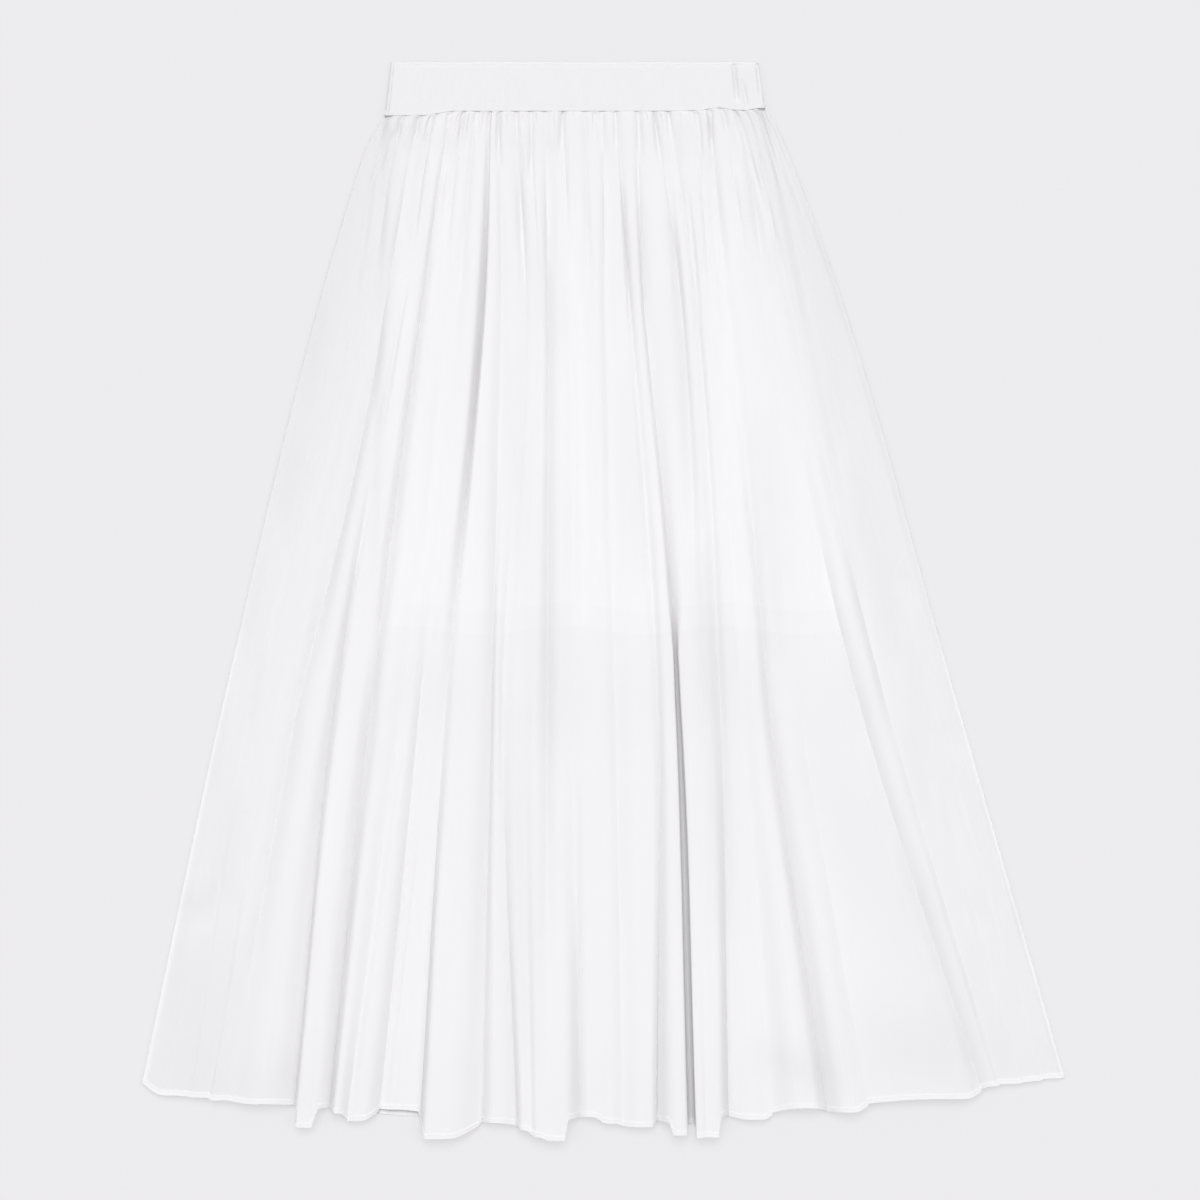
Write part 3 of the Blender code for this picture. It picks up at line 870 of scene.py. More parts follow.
@dataclass(frozen=True)
class PoplinFinish(ClothFinish):
    """Thin white poplin, through which the slip below it shows a little brighter.

    slip_hems: y of the slip's front and back hems, in metres.
    slip_sides: for each side, its x at y = 0 and its change for each metre of y.
    hem_wave: how much the slip's hems wander, and over which run, in metres.
    hem_blur, side_blur: how soft the slip's hems and sides look, in metres.
    slip_share: how much the slip counts against a layer of the cloth itself.
    """

    slip_hems: tuple[float, float] = (0.0, 0.0)
    slip_sides: tuple[tuple[float, float], tuple[float, float]] = ((0.0, 0.0), (0.0, 0.0))
    hem_wave: tuple[float, float] = (0.0035, 0.13)
    hem_blur: float = 0.0012
    side_blur: float = 0.009
    slip_share: float = 0.24

    def second_layer_and_painted_shade(self, tree: bpy.types.NodeTree) -> bpy.types.NodeSocket:
        """How much a second layer shows through: the slip below, or a hem or seam of the cloth, with the
        attribute's painted shade and highlight.
        """
        own = super().second_layer_and_painted_shade(tree)
        place = add_node(tree, "ShaderNodeTexCoord").outputs["Object"]
        axes = add_node(tree, "ShaderNodeSeparateXYZ", None, {"Vector": place}).outputs
        wave = maths(tree, "SINE", maths(tree, "MULTIPLY", axes["X"], 2.0 * math.pi / self.hem_wave[1]))
        level = maths(tree, "MULTIPLY_ADD", wave, self.hem_wave[0], axes["Y"])
        each = 1.0 / len(self.slip_hems)
        shown = maths(tree, "ADD", *(step_over(tree, level, hem - self.hem_blur, hem + self.hem_blur, each)
                                     for hem in self.slip_hems))
        for side, (start, slope) in zip((-1.0, 1.0), self.slip_sides):
            edge = maths(tree, "MULTIPLY_ADD", axes["Y"], slope, start)
            outside = maths(tree, "SUBTRACT", axes["X"], edge)
            inside = step_over(tree, outside, side * self.side_blur, -side * self.side_blur)
            shown = maths(tree, "MULTIPLY", shown, inside)
        return maths(tree, "MULTIPLY_ADD", shown, self.slip_share, own, clamped=True)


@dataclass(frozen=True)
class WaistSeam:
    """How the waist seam wanders across the skirt, in millimetres.

    places, shifts: places across, and the seam's height there above its straight line.
    beyond, count: how far past the ends the seam is drawn, and with how many points.
    smoothing: over how many of those points it is smoothed.
    fade: how far below the seam the cloth still follows it.
    """

    places: tuple[float, ...] = (
        -181.0, -146.0, -131.0, -125.0, 54.0, 80.0, 90.0, 96.0, 106.0, 116.0, 126.0, 133.0)
    shifts: tuple[float, ...] = (-3.4, -3.2, -0.9, 0.2, 0.3, 1.0, 2.8, 2.9, 1.2, 0.9, 2.6, 2.9)
    beyond: float = 6.0
    count: int = 640
    smoothing: int = 9
    fade: float = 22.0

    def shift(self, x: np.ndarray) -> np.ndarray:
        """Height of the seam above its straight line at each place."""
        fine = np.linspace(self.places[0] - self.beyond, self.places[-1] + self.beyond, self.count)
        values = np.interp(fine, self.places, self.shifts)
        kernel = np.hanning(self.smoothing + 2)[1:-1]
        padded = np.pad(values, self.smoothing // 2, mode="edge")
        smooth = np.convolve(padded, kernel / kernel.sum(), mode="valid")
        return np.interp(x, fine, smooth)

    def shift_below(self, x: np.ndarray, distance: np.ndarray) -> np.ndarray:
        """How far the seam moves the cloth up or down at each place below it."""
        fade = np.exp(-(np.maximum(distance, 0.0) / self.fade) ** 2)
        return self.shift(x) * fade


WAIST_SEAM = WaistSeam()


@dataclass(frozen=True)
class Panel:
    """What the front and the back panels have in common, in millimetres.

    wall: thickness of the cloth, and of the turned hem.
    hem: depth of the turned hem, and how far it stands proud.
    side_roll: radius of the roll at the side seams, and how far in it is felt.
    roll_columns: columns of each roll.
    seam_width: width of the pressed seam allowance that shows along the sides.
    seam_shown: distances below the waist seam between which it comes into sight.
    tuck: the stretch below the seam in which the cloth turns in under the waistband.
    squeeze: how much narrower the cloth is under the waistband, and where it widens again.
    hem_step: half the run in which the hem's edge steps down.
    hem_white, seam_white_and_highlight: how bright the turned hem looks, and the strip along the sides,
    partly the
        seam allowance showing through and partly a painted highlight of the seam's ridge.
    wave_run: distances below the seam between which low waves come in.
    """

    form: SkirtForm
    rows: Rows
    wall: tuple[float, float] = (0.6, 1.0)
    hem: tuple[float, float] = (4.6, 0.35)
    side_roll: tuple[float, float] = (0.6, 9.0)
    roll_columns: int = 3
    seam_width: tuple[float, float] = (1.4, 3.4)
    seam_shown: tuple[float, float] = (380.0, 470.0)
    tuck: tuple[float, float] = (-0.55, 0.2)
    squeeze: float = 0.99
    squeeze_run: tuple[float, float] = (-1.0, 4.0)
    hem_step: float = 0.3
    hem_white: float = 0.85
    seam_white_and_highlight: float = 0.95
    wave_run: tuple[float, float] = (10.0, 160.0)

    def hem_layers(self, from_hem: np.ndarray) -> np.ndarray:
        """1 within the turned hem and 0 above it."""
        return 1.0 - ease(from_hem, self.hem[0] - self.hem_step, self.hem[0] + self.hem_step)

    def waist_squeeze(self, x: np.ndarray, distance: np.ndarray) -> np.ndarray:
        """Places across with the cloth drawn in under the waistband."""
        narrow = self.squeeze + (1.0 - self.squeeze) * ease(distance, *self.squeeze_run)
        return self.form.band_middle + (x - self.form.band_middle) * narrow

    def roll_sides(self, drawn: np.ndarray) -> np.ndarray:
        """Round a panel's sides over to the side seams.

        Args:
            drawn: Points of each section: place across, distance and height.

        Returns:
            The same sections, with the rolls' points at each side.
        """
        radius, run = self.side_roll
        x = drawn[:, :, 0]
        near_left = np.exp(-(x - x[:, :1]) / run)
        near_right = np.exp(-(x[:, -1:] - x) / run)
        drawn[:, :, 0] += radius * (near_left - near_right)
        target = self.form.side_height
        edges = []
        for column, side in ((0, -1.0), (-1, 1.0)):
            edge = drawn[:, column]
            ring = []
            for step in range(1, self.roll_columns + 1):
                angle = 0.5 * math.pi * step / self.roll_columns
                point = edge.copy()
                point[:, 0] += side * radius * math.sin(angle)
                point[:, 2] = target + (edge[:, 2] - target) * math.cos(angle)
                ring.append(point)
            edges.append(np.stack(ring, axis=1))
        left, right = edges
        return np.concatenate((left[:, ::-1], drawn, right), axis=1)

    def side_seam_and_highlight(self, drawn: np.ndarray) -> np.ndarray:
        """How bright the strip along the sides looks: partly the pressed seam allowance, partly a painted
        highlight.
        """
        x = drawn[:, :, 0]
        inset = np.minimum(x - x[:, :1], x[:, -1:] - x)
        shown = self.seam_white_and_highlight * (1.0 - ease(inset, *self.seam_width))
        return shown * ease(drawn[:, :, 1], *self.seam_shown)

    def wall_share(self, turned: np.ndarray) -> np.ndarray:
        """Share of the hem's wall at each place."""
        return (self.wall[0] + (self.wall[1] - self.wall[0]) * turned) / self.wall[1]


@dataclass(frozen=True)
class FrontPanel(Panel):
    """The front of the skirt, gathered into the waistband and fluted at the hem.

    under_band: its height where it is sewn in under the waistband.
    gather_seed: which small gathers are drawn, one in each fold.
    gather_depths, gather_places, gather_runs: from what ranges their depths, their places across
        the fold and their lengths are drawn.
    gather_width, gather_tuck: how wide they are, and where they rise from under the waistband.
    gather_depth, gather_start: how deep the table's gathers are, and where they rise likewise.
    wave_height, waves: height of the low waves, their seed and their lengths across and down.
    climb: share of its height at the columns of a fold's side.
    top: columns over a fold's top, less one.
    broaden, broadest, flanks: how much broader the sides are than the table says, the broadest
        that one may be, and the most that both may take of the fold's width.
    lean, lean_run, lean_from: how much the folds lean outwards, where they do, and how far down.
    steep, widest_slot: how much narrower a side is next to an open gap of this width.
    roundness: how much a fold's top falls off towards its deep valleys.
    single, crowded, crowd_run: how white the cloth looks at the sides and in the middle, and the
        share of its width over which that changes.
    waist_gather_shade, near_hem: painted shade of the small gathers near the waist, and how much less white
    the
        cloth looks near the hem, with the distances of the change.
    slot_shade: painted shade in the cloth next to an open gap: how dark, and how far, for its width.
    round_hem, square_hem: shares of a fold's height between which its hem swings down.
    """

    under_band: float = 6.0
    gather_seed: int = 11
    gather_depths: tuple[float, float] = (0.3, 1.0)
    gather_places: tuple[float, float] = (0.38, 0.62)
    gather_runs: tuple[float, float] = (7.0, 26.0)
    gather_width: float = 0.11
    gather_tuck: tuple[float, float] = (-0.5, 3.5)
    gather_depth: float = 1.25
    gather_start: tuple[float, float] = (-0.6, 1.6)
    wave_height: float = 0.5
    waves: tuple[int, float, float] = (3, 34.0, 520.0)
    climb: tuple[float, ...] = (0.0, 0.07, 0.24, 0.47, 0.73)
    top: int = 6
    broaden: float = 1.5
    broadest: float = 0.58
    flanks: float = 0.9
    lean: float = 0.4
    lean_run: float = 140.0
    lean_from: tuple[float, float] = (480.0, 680.0)
    steep: float = 0.88
    widest_slot: float = 2.4
    roundness: float = 0.22
    single: float = 0.42
    crowded: float = 0.78
    crowd_run: float = 0.36
    waist_gather_shade: float = 0.3
    waist_fade: tuple[float, float] = (60.0, 420.0)
    near_hem: float = 0.12
    hem_fade: tuple[float, float] = (730.0, 800.0)
    slot_shade: tuple[float, float, float] = (0.4, 0.6, 0.1)
    round_hem: tuple[float, float] = (-0.35, 0.9)
    square_hem: tuple[float, float] = (0.7, 1.0)
    flat_cut: tuple[float, float] = (0.94, 0.835)
    cut_area: float = 0.58

    @property
    def each(self) -> int:
        """Columns of each fold."""
        return 2 * len(self.climb) + self.top

    def sections(self, share: np.ndarray, offset: np.ndarray) -> np.ndarray:
        """Points of the panel's sections, fold by fold.

        Args:
            share: Shares of the panel's length, one for each section.
            offset: Millimetres to add to each.

        Returns:
            Points of each section: place across, distance below the seam and height.
        """
        last = len(FOLDS) - 1
        columns = [column for index in range(last) for column in self.fold_columns(index, share, offset)]
        distance = share * FOLDS[last].length + offset
        felt = np.maximum(distance, 0.0)
        columns.append((self.form.line_x(FOLDS[last], felt), distance, self.form.valley_height(last, felt)))
        x, distance, height = (np.stack(rows, axis=1) for rows in zip(*columns))
        z = self.form.layers_below(x, np.maximum(distance, 0.0)) + self.form.cloth + height
        return np.stack((x, distance, z), axis=2)

    def fold_columns(self, index: int, share: np.ndarray, offset: np.ndarray) -> list[tuple[np.ndarray, ...]]:
        """Columns of the fold right of a valley line: its rising side, its top and its falling side."""
        form = self.form
        left, right = FOLDS[index], FOLDS[index + 1]
        crest_length = 0.5 * (left.length + right.length) + left.reach
        stations = [(left, index, climb, 0.0) for climb in self.climb]
        stations += [(None, index, 1.0, step / self.top) for step in range(self.top + 1)]
        stations += [(right, index + 1, climb, 1.0) for climb in self.climb[:0:-1]]
        columns = []
        for near, valley, climb, across in stations:
            own = crest_length
            if near is not None:
                square = index in (SQUARE_RISING if near is left else SQUARE_FALLING)
                hung = float(ease(climb, *(self.square_hem if square else self.round_hem)))
                own = near.length + (crest_length - near.length) * hung
            distance = share * own + offset
            felt = np.maximum(distance, 0.0)
            start = form.line_x(left, felt)
            width = form.line_x(right, felt) - start
            slots = form.slot(index, felt), form.slot(index + 1, felt)
            lean = self.lean * ease(felt, *self.lean_from)
            rising = self.flank(left.right, start, -lean, slots[0]) * width
            falling = self.flank(right.left, start + width, lean, slots[1]) * width
            crowd = np.maximum(1.0, (rising + falling) / (self.flanks * width))
            rising, falling = rising / crowd, falling / crowd
            start_top = 0.5 * slots[0] + rising
            end_top = 0.5 * slots[1] + falling
            height = form.fold_height(index, felt)
            if near is left:
                x = start + 0.5 * slots[0] * (climb > 0.0) + rising * climb
            elif near is right:
                x = start + width - 0.5 * slots[1] * (climb > 0.0) - falling * climb
            else:
                x = start + start_top + (width - start_top - end_top) * across
            if near is not None:
                foot = form.valley_height(valley, felt)
                rounded = climb * climb * (3.0 - 2.0 * climb)
                pointed = form.sharpness(valley, felt) * (climb * (2.0 - climb) - rounded)
                height = foot + (height - foot) * (rounded + pointed)
            aside = 2.0 * (x - start) / width - 1.0
            deep = np.where(aside < 0.0, form.depth(left, felt), form.depth(right, felt))
            height = height * (1.0 - self.roundness * np.maximum(deep, 0.0) * aside ** 2)
            columns.append((x, distance, height))
        return columns

    def flank(self, share: float, x: np.ndarray, lean: np.ndarray, slot: np.ndarray) -> np.ndarray:
        """Share of a fold's width taken by one side.

        Args:
            share: The share that the fold table gives.
            x: Where the valley line lies.
            lean: How much broader the side is at the far left, and narrower at the far right.
            slot: Width of the open gap at its foot, where the side stands steeply.

        Returns:
            The share at each section.
        """
        leaning = 1.0 + lean * np.clip(-x / self.lean_run, -1.0, 1.0)
        steep = 1.0 - self.steep * np.minimum(slot / self.widest_slot, 1.0)
        return np.minimum(self.broaden * share * leaning, self.broadest) * steep

    def small_gathers(self, cols: int, distance: np.ndarray) -> np.ndarray:
        """Depth of the short gathers between the main ones, one in most folds."""
        phase = (np.arange(cols) % self.each) / self.each
        fold = np.arange(cols) // self.each
        draw = np.random.default_rng(self.gather_seed)
        total = np.zeros(distance.shape)
        for index in range(len(FOLDS) - 1):
            depth = draw.uniform(*self.gather_depths)
            place = draw.uniform(*self.gather_places)
            run = draw.uniform(*self.gather_runs)
            ridge = depth * np.exp(-((phase - place) / self.gather_width) ** 2) * (fold == index)
            fade = np.exp(-(np.maximum(distance, 0.0) / run) ** 2)
            total += ridge[None, :] * fade * ease(distance, *self.gather_tuck)
        return total

    def layers_and_painted_shade(self, drawn: np.ndarray) -> np.ndarray:
        """How white the cloth looks: whiter away from the sides, less white near the hem, painted shade near
        the waist, in patches and along the open gaps, and painted light in a few patches.
        """
        x, distance = drawn[:, :, 0], drawn[:, :, 1]
        inset = np.minimum(x - x[:, :1], x[:, -1:] - x) / (0.5 * (x[:, -1:] - x[:, :1]))
        gathered = self.single + (self.crowded - self.single) * ease(inset, 0.0, self.crowd_run)
        # Painted shade: the cloth is drawn darker near the waist, where its small gathers shade it
        waist_gather_shade = self.waist_gather_shade * (1.0 - ease(distance, *self.waist_fade))
        # Painted shade and painted light in patches over the front
        patches = sum(place.height(x, -distance) for place in PAINTED_SHADE_PATCHES)
        # Painted shade along the open gaps, darker the wider the gap
        shade, spread, least = self.slot_shade
        for slot in SLOTS:
            width = slot.width(distance)
            aside = x - self.form.line_x(FOLDS[slot.line], np.maximum(distance, 0.0))
            reach = spread * width + least
            patches = patches - np.minimum(shade * width, 1.0) * np.exp(-(aside / reach) ** 2)
        near_hem = self.near_hem * ease(distance, *self.hem_fade)
        return np.clip(gathered - waist_gather_shade - near_hem + patches, 0.0, 1.0)

    def surface(self) -> Surface:
        """The panel's form."""
        share, offset = self.rows.places()
        drawn = self.sections(share, offset)
        x, distance, z = np.moveaxis(drawn, 2, 0)
        z = z - self.small_gathers(drawn.shape[1], distance)
        z = z + self.wave_height * ease(distance, *self.wave_run) * ripples(x, distance, *self.waves)
        z = z + sum(crease.height(x, -distance) for crease in FRONT_CREASES)
        z = z + self.hem[1] * self.hem_layers(distance[-1:] - distance)
        drawn = self.roll_sides(np.stack((x, distance, z), axis=2))
        x, distance, z = np.moveaxis(drawn, 2, 0)
        z = self.under_band + (z - self.under_band) * ease(distance, *self.tuck)
        gathers = sum(crease.height(x, -distance) for crease in WAIST_GATHERS)
        z = z + self.gather_depth * gathers * ease(distance, *self.gather_start)
        x = self.waist_squeeze(x, distance)
        turned = self.hem_layers(distance[-1:] - distance)
        layers = np.maximum(self.hem_white * turned, self.side_seam_and_highlight(drawn))
        layers = np.maximum(layers, self.layers_and_painted_shade(drawn))
        shift = WAIST_SEAM.shift_below(x, distance)
        return Surface(x, distance, z, layers, self.wall_share(turned), shift, self.crisp_lines(distance))

    def crisp_lines(self, distance: np.ndarray) -> np.ndarray:
        """Where the columns along the valley lines are sharp creases."""
        crisp = np.zeros(distance.shape, dtype=bool)
        for line in range(1, len(FOLDS) - 1):
            column = self.roll_columns + self.each * line
            crisp[:, column] = self.form.sharpness(line, np.maximum(distance[:, column], 0.0)) > 0.5
        return crisp


@dataclass(frozen=True)
class BackPanel(Panel):
    """The back of the skirt, which lies on the table; its outer face is its underside.

    under_band: its height where it is sewn in under the waistband.
    steps: points for each span between two of its lines.
    wave_height, waves: height of the low waves, their seed and their lengths across and down.
    fold_width: how much cloth each fold stands for in those waves.
    """

    under_band: float = 2.4
    steps: int = 4
    wave_height: float = 0.25
    waves: tuple[int, float, float] = (5, 24.0, 380.0)
    fold_width: float = 28.0
    flat_cut: tuple[float, float] = (0.88, 0.83)
    cut_area: float = 0.55

    def columns(self, share: np.ndarray, offset: np.ndarray) -> tuple[np.ndarray, ...]:
        """Lines that the panel's underside passes through.

        Args:
            share: Shares of the panel's length, one for each section.
            offset: Millimetres to add to each.

        Returns:
            Place across, distance below the seam and height, one row for each section.
        """
        form = self.form
        deepest = max(fold.pucker for fold in FOLDS)
        columns = []
        for index, (fold, following) in enumerate(zip(FOLDS, FOLDS[1:])):
            own = fold.length if index == 0 else form.back_hem(fold.hem)
            distance = share * own + offset
            felt = np.maximum(distance, 0.0)
            columns.append((form.line_x(fold, felt), distance, np.zeros_like(distance)))
            distance = share * form.back_hem(0.5 * (fold.hem + following.hem)) + offset
            felt = np.maximum(distance, 0.0)
            start = form.line_x(fold, felt)
            end = form.line_x(following, felt)
            swell = np.maximum(0.0, along(fold.rises, felt) * along(form.relief, felt))
            raised = np.minimum(form.back_share * swell, form.back_slope * (end - start))
            raised = raised * ease(felt, *form.back_flutes)
            raised = raised + 0.5 * (fold.pucker + following.pucker) / deepest * form.seam_lift(felt)
            columns.append((0.5 * (start + end), distance, raised))
        distance = share * FOLDS[-1].length + offset
        columns.append((form.line_x(FOLDS[-1], np.maximum(distance, 0.0)), distance, np.zeros_like(distance)))
        return tuple(np.stack(rows, axis=1) for rows in zip(*columns))

    def surface(self) -> Surface:
        """The panel's form."""
        share, offset = self.rows.places()
        drawn = spline_sections(self.columns(share, offset), self.steps)
        x, distance, z = np.moveaxis(drawn, 2, 0)
        across = np.arange(drawn.shape[1])[None, :] * (self.fold_width / (2 * self.steps))
        waves = ripples(across, distance, *self.waves) * ease(distance, *self.wave_run)
        z = z + self.wave_height * (1.0 + waves)
        z = z + sum(crease.height(x, -distance) for crease in BACK_CREASES)
        drawn = self.roll_sides(np.stack((x, distance, np.maximum(z, 0.0)), axis=2))
        x, distance, z = np.moveaxis(drawn, 2, 0)
        z = self.under_band + (z - self.under_band) * ease(distance, *self.tuck)
        x = self.waist_squeeze(x, distance)
        turned = self.hem_layers(distance[-1:] - distance)
        layers = np.maximum(turned, self.side_seam_and_highlight(drawn))
        shift = WAIST_SEAM.shift_below(x, distance)
        return Surface(x, distance, z, layers, self.wall_share(turned), shift)


@dataclass(frozen=True)
class SlipPanel:
    """One side of the short slip between the front and the back, in millimetres.

    base: height of the layers below it.
    under_band: its height where it is sewn in under the waistband.
    seed, waves: which low waves are drawn, and their lengths across and down.
    columns: spans across.
    wall, wall_share: its wall, and the share of it outside the hem.
    hem, hem_step, hem_proud: depth of the hem, half the run of its step, and how far it stands proud.
    wave_run, tuck: distances below the seam where the waves come in, and where it is sewn in.
    """

    form: SkirtForm
    name: str
    node: str
    length: float
    base: float
    under_band: float
    seed: int
    columns: int = 72
    wall: float = 0.4
    wall_share: float = 0.7
    hem: float = 12.0
    hem_step: float = 0.4
    hem_proud: float = 0.1
    hem_rows: tuple[float, ...] = (14.0, 12.4, 11.6, 8.0, 4.0, 1.0, 0.0)
    wave_height: float = 0.2
    waves: tuple[float, float] = (46.0, 210.0)
    wave_run: tuple[float, float] = (8.0, 60.0)
    tuck: tuple[float, float] = (-0.4, 4.0)

    def surface(self) -> Surface:
        """The slip panel's form."""
        share, offset = Rows(middle_count=24, waist_count=14, hem=self.hem_rows).places()
        distance = np.repeat((share * self.length + offset)[:, None], self.columns + 1, axis=1)
        felt = np.maximum(distance, 0.0)
        left, right = self.form.lining_edges(felt)
        x = left + (right - left) * np.linspace(0.0, 1.0, self.columns + 1)[None, :]
        z = self.base + self.form.seam_lift(felt) + self.wall
        z = z + self.wave_height * ripples(x, distance, self.seed, *self.waves) * ease(felt, *self.wave_run)
        z = self.under_band + (z - self.under_band) * ease(distance, *self.tuck)
        from_hem = distance[-1:] - distance
        turned = 1.0 - ease(from_hem, self.hem - self.hem_step, self.hem + self.hem_step)
        wall = self.wall_share + (1.0 - self.wall_share) * turned
        shift = WAIST_SEAM.shift_below(x, distance)
        return Surface(x, distance, z + self.hem_proud * turned, turned, wall, shift)


@dataclass(frozen=True)
class Waistband:
    """A flattened loop of soft elastic, joined near its right end, in millimetres.

    narrowing: how the band narrows from its foot to its top, as a power of the height.
    wall, edge, edge_round: its wall, and how far and how fully its edges are rounded.
    welt, welt_groove: height of the top welt's groove, and the groove's depth and half width.
    welt_white, welt_step: how bright the welt looks, and half the run of that step.
    rows, closer: its rings, and how much closer they lie at its edges.
    seam_run: how far up the band follows the waist seam's wandering.
    ribs, rib_slant, rolls: low waves of the knit and of the whole band: height, seed and lengths,
        and how much the ribs' waves feel the height.
    join: creases at the join, and two faint ones.
    """

    form: SkirtForm
    depth: float = 41.0
    top_width: float = 301.0
    top_height: float = 5.0
    foot_height: float = 7.2
    narrowing: float = 0.8
    wall: float = 1.2
    edge: float = 0.5
    edge_round: float = 0.98
    welt: float = 37.8
    welt_groove: tuple[float, float] = (0.28, 0.5)
    welt_white: float = 0.6
    welt_step: float = 0.6
    flat_columns: int = 330
    turn_columns: int = 14
    rows: int = 42
    closer: float = 0.11
    seam_run: float = 26.0
    ribs: tuple[float, int, float, float] = (0.07, 31, 5.0, 60.0)
    rib_slant: float = 0.2
    rolls: tuple[float, int, float, float] = (0.12, 37, 38.0, 90.0)
    join: tuple[Crease, ...] = creases(
        (106.2, 38.0, 108.9, 9.0, 1.6, 2.6),
        (113.4, 24.0, 117.0, 2.0, 1.5, 1.9),
        (125.2, 38.0, 128.2, 10.0, 1.5, 1.6),
        (82.0, 20.0, 82.6, 4.0, 0.9, 0.25),
        (-47.0, 24.0, -46.0, 12.0, 0.9, 0.18),
    )

    def distances(self) -> np.ndarray:
        """Distances up from the band's foot at which its rings lie, closer at its edges."""
        share = np.linspace(0.0, 1.0, self.rows)
        return self.depth * (share - self.closer * np.sin(2.0 * math.pi * share))

    def surface(self) -> Surface:
        """The band's outer face, all round."""
        up = self.distances()[:, None]
        share = up / self.depth
        foot = self.form.band_foot_width
        width = foot + (self.top_width - foot) * share ** self.narrowing
        height = self.foot_height + (self.top_height - self.foot_height) * share
        radius = 0.5 * height
        straight = 0.5 * width - radius
        flat = np.linspace(-1.0, 1.0, self.flat_columns, endpoint=False)[None, :]
        turn = np.linspace(0.0, math.pi, self.turn_columns, endpoint=False)[None, :]
        ones = np.ones_like(up)
        zero, aside, rise = np.zeros_like(flat), np.sin(turn), np.cos(turn)
        x = np.concatenate((straight * flat, straight + radius * aside,
                            -straight * flat, -straight - radius * aside), axis=1)
        out_x = ones * np.concatenate((zero, aside, zero, -aside), axis=1)
        out_z = ones * np.concatenate((1.0 + zero, rise, -1.0 + zero, -rise), axis=1)
        x, out_x, out_z = (np.concatenate((a, a[:, :1]), axis=1) for a in (x, out_x, out_z))
        z = radius + radius * out_z
        x = x + self.form.band_middle
        edge = np.minimum(up, self.depth - up)
        rolled = np.clip(1.0 - edge / self.edge, 0.0, 1.0)
        relief = -self.edge * (1.0 - np.sqrt(1.0 - self.edge_round * rolled ** 2))
        groove_depth, groove_width = self.welt_groove
        relief = relief - groove_depth * np.exp(-((up - self.welt) / groove_width) ** 2)
        relief = relief * np.ones_like(x)
        y = up * np.ones_like(x)
        top = out_z > 0.5
        for crease in self.join:
            relief = relief + crease.height(x, y) * top
        run = np.hypot(np.diff(x), np.diff(z))
        around = np.cumsum(np.concatenate((np.zeros((len(x), 1)), run), axis=1), axis=1)
        height, *waves = self.ribs
        relief = relief + height * ripples(around, self.rib_slant * y, *waves) * (edge > self.edge)
        height, *waves = self.rolls
        relief = relief + height * ripples(around, y, *waves)
        x = x + out_x * relief
        z = z + out_z * relief
        z = z - z.min()
        shift = WAIST_SEAM.shift(x) * (1.0 - ease(up, 0.0, self.seam_run)) * (out_z > -0.5)
        above_groove = ease(up, self.welt - self.welt_step, self.welt + self.welt_step)
        return Surface(x, -y, z, self.welt_white * above_groove * np.ones_like(x), np.ones_like(x), shift)


@dataclass(frozen=True)
class HemStitches:
    """A row of small stitches that holds a turned hem, in millimetres.

    up: how far above the hem's edge it runs.
    pitch, long, thick: from stitch to stitch, and each stitch's length and thickness.
    first: share of a pitch before each stitch.
    lift: how far the stitches lie above the cloth.
    spare: columns left out at each side seam.
    sides, sharp_angle: sides of a stitch, and from which angle its edges are sharp, in degrees.
    """

    name: str
    up: float = 3.7
    pitch: float = 2.6
    long: float = 1.9
    thick: float = 0.34
    first: float = 0.2
    lift: float = 0.04
    spare: int = 4
    sides: int = 6
    sharp_angle: float = 50.0

    def path(self, surface: Surface, place: Vector) -> np.ndarray:
        """Points along the hem on the face where the stitches lie.

        Args:
            surface: The panel's form.
            place: Where the seam's middle lies, in metres.

        Returns:
            Places in metres.
        """
        from_hem = surface.distance[-1:] - surface.distance
        row = int(np.argmin(np.abs(from_hem[:, from_hem.shape[1] // 2] - self.up)))
        path = surface.points(place)[row].copy()
        path[:, 2] += self.lift * MM
        return path[self.spare:-self.spare]

    def build(self, path: np.ndarray, finish: bpy.types.Material) -> bpy.types.Object:
        """Lay the stitches along a path.

        Args:
            path: Places in metres.
            finish: The thread's material.

        Returns:
            One piece with all the stitches.
        """
        run = np.linalg.norm(np.diff(path, axis=0), axis=1)
        arc = np.concatenate(([0.0], np.cumsum(run)))
        count = int(arc[-1] / (self.pitch * MM))
        radius = 0.5 * self.thick * MM
        bm = bmesh.new()
        for i in range(count):
            start = (i + self.first) * self.pitch * MM
            ends = [Vector([np.interp(s, arc, path[:, axis]) for axis in range(3)])
                    for s in (start, start + self.long * MM)]
            lie = ends[1] - ends[0]
            turn = lie.to_track_quat("Z", "Y").to_matrix().to_4x4()
            bmesh.ops.create_cone(
                bm, cap_ends=True, segments=self.sides, radius1=radius, radius2=radius, depth=lie.length,
                matrix=Matrix.Translation(0.5 * (ends[0] + ends[1])) @ turn)
        piece = add_object(self.name, bm)
        piece.data.shade_smooth()
        piece.data.set_sharp_from_angle(angle=math.radians(self.sharp_angle))
        dress(piece, finish, "cloth")
        return piece


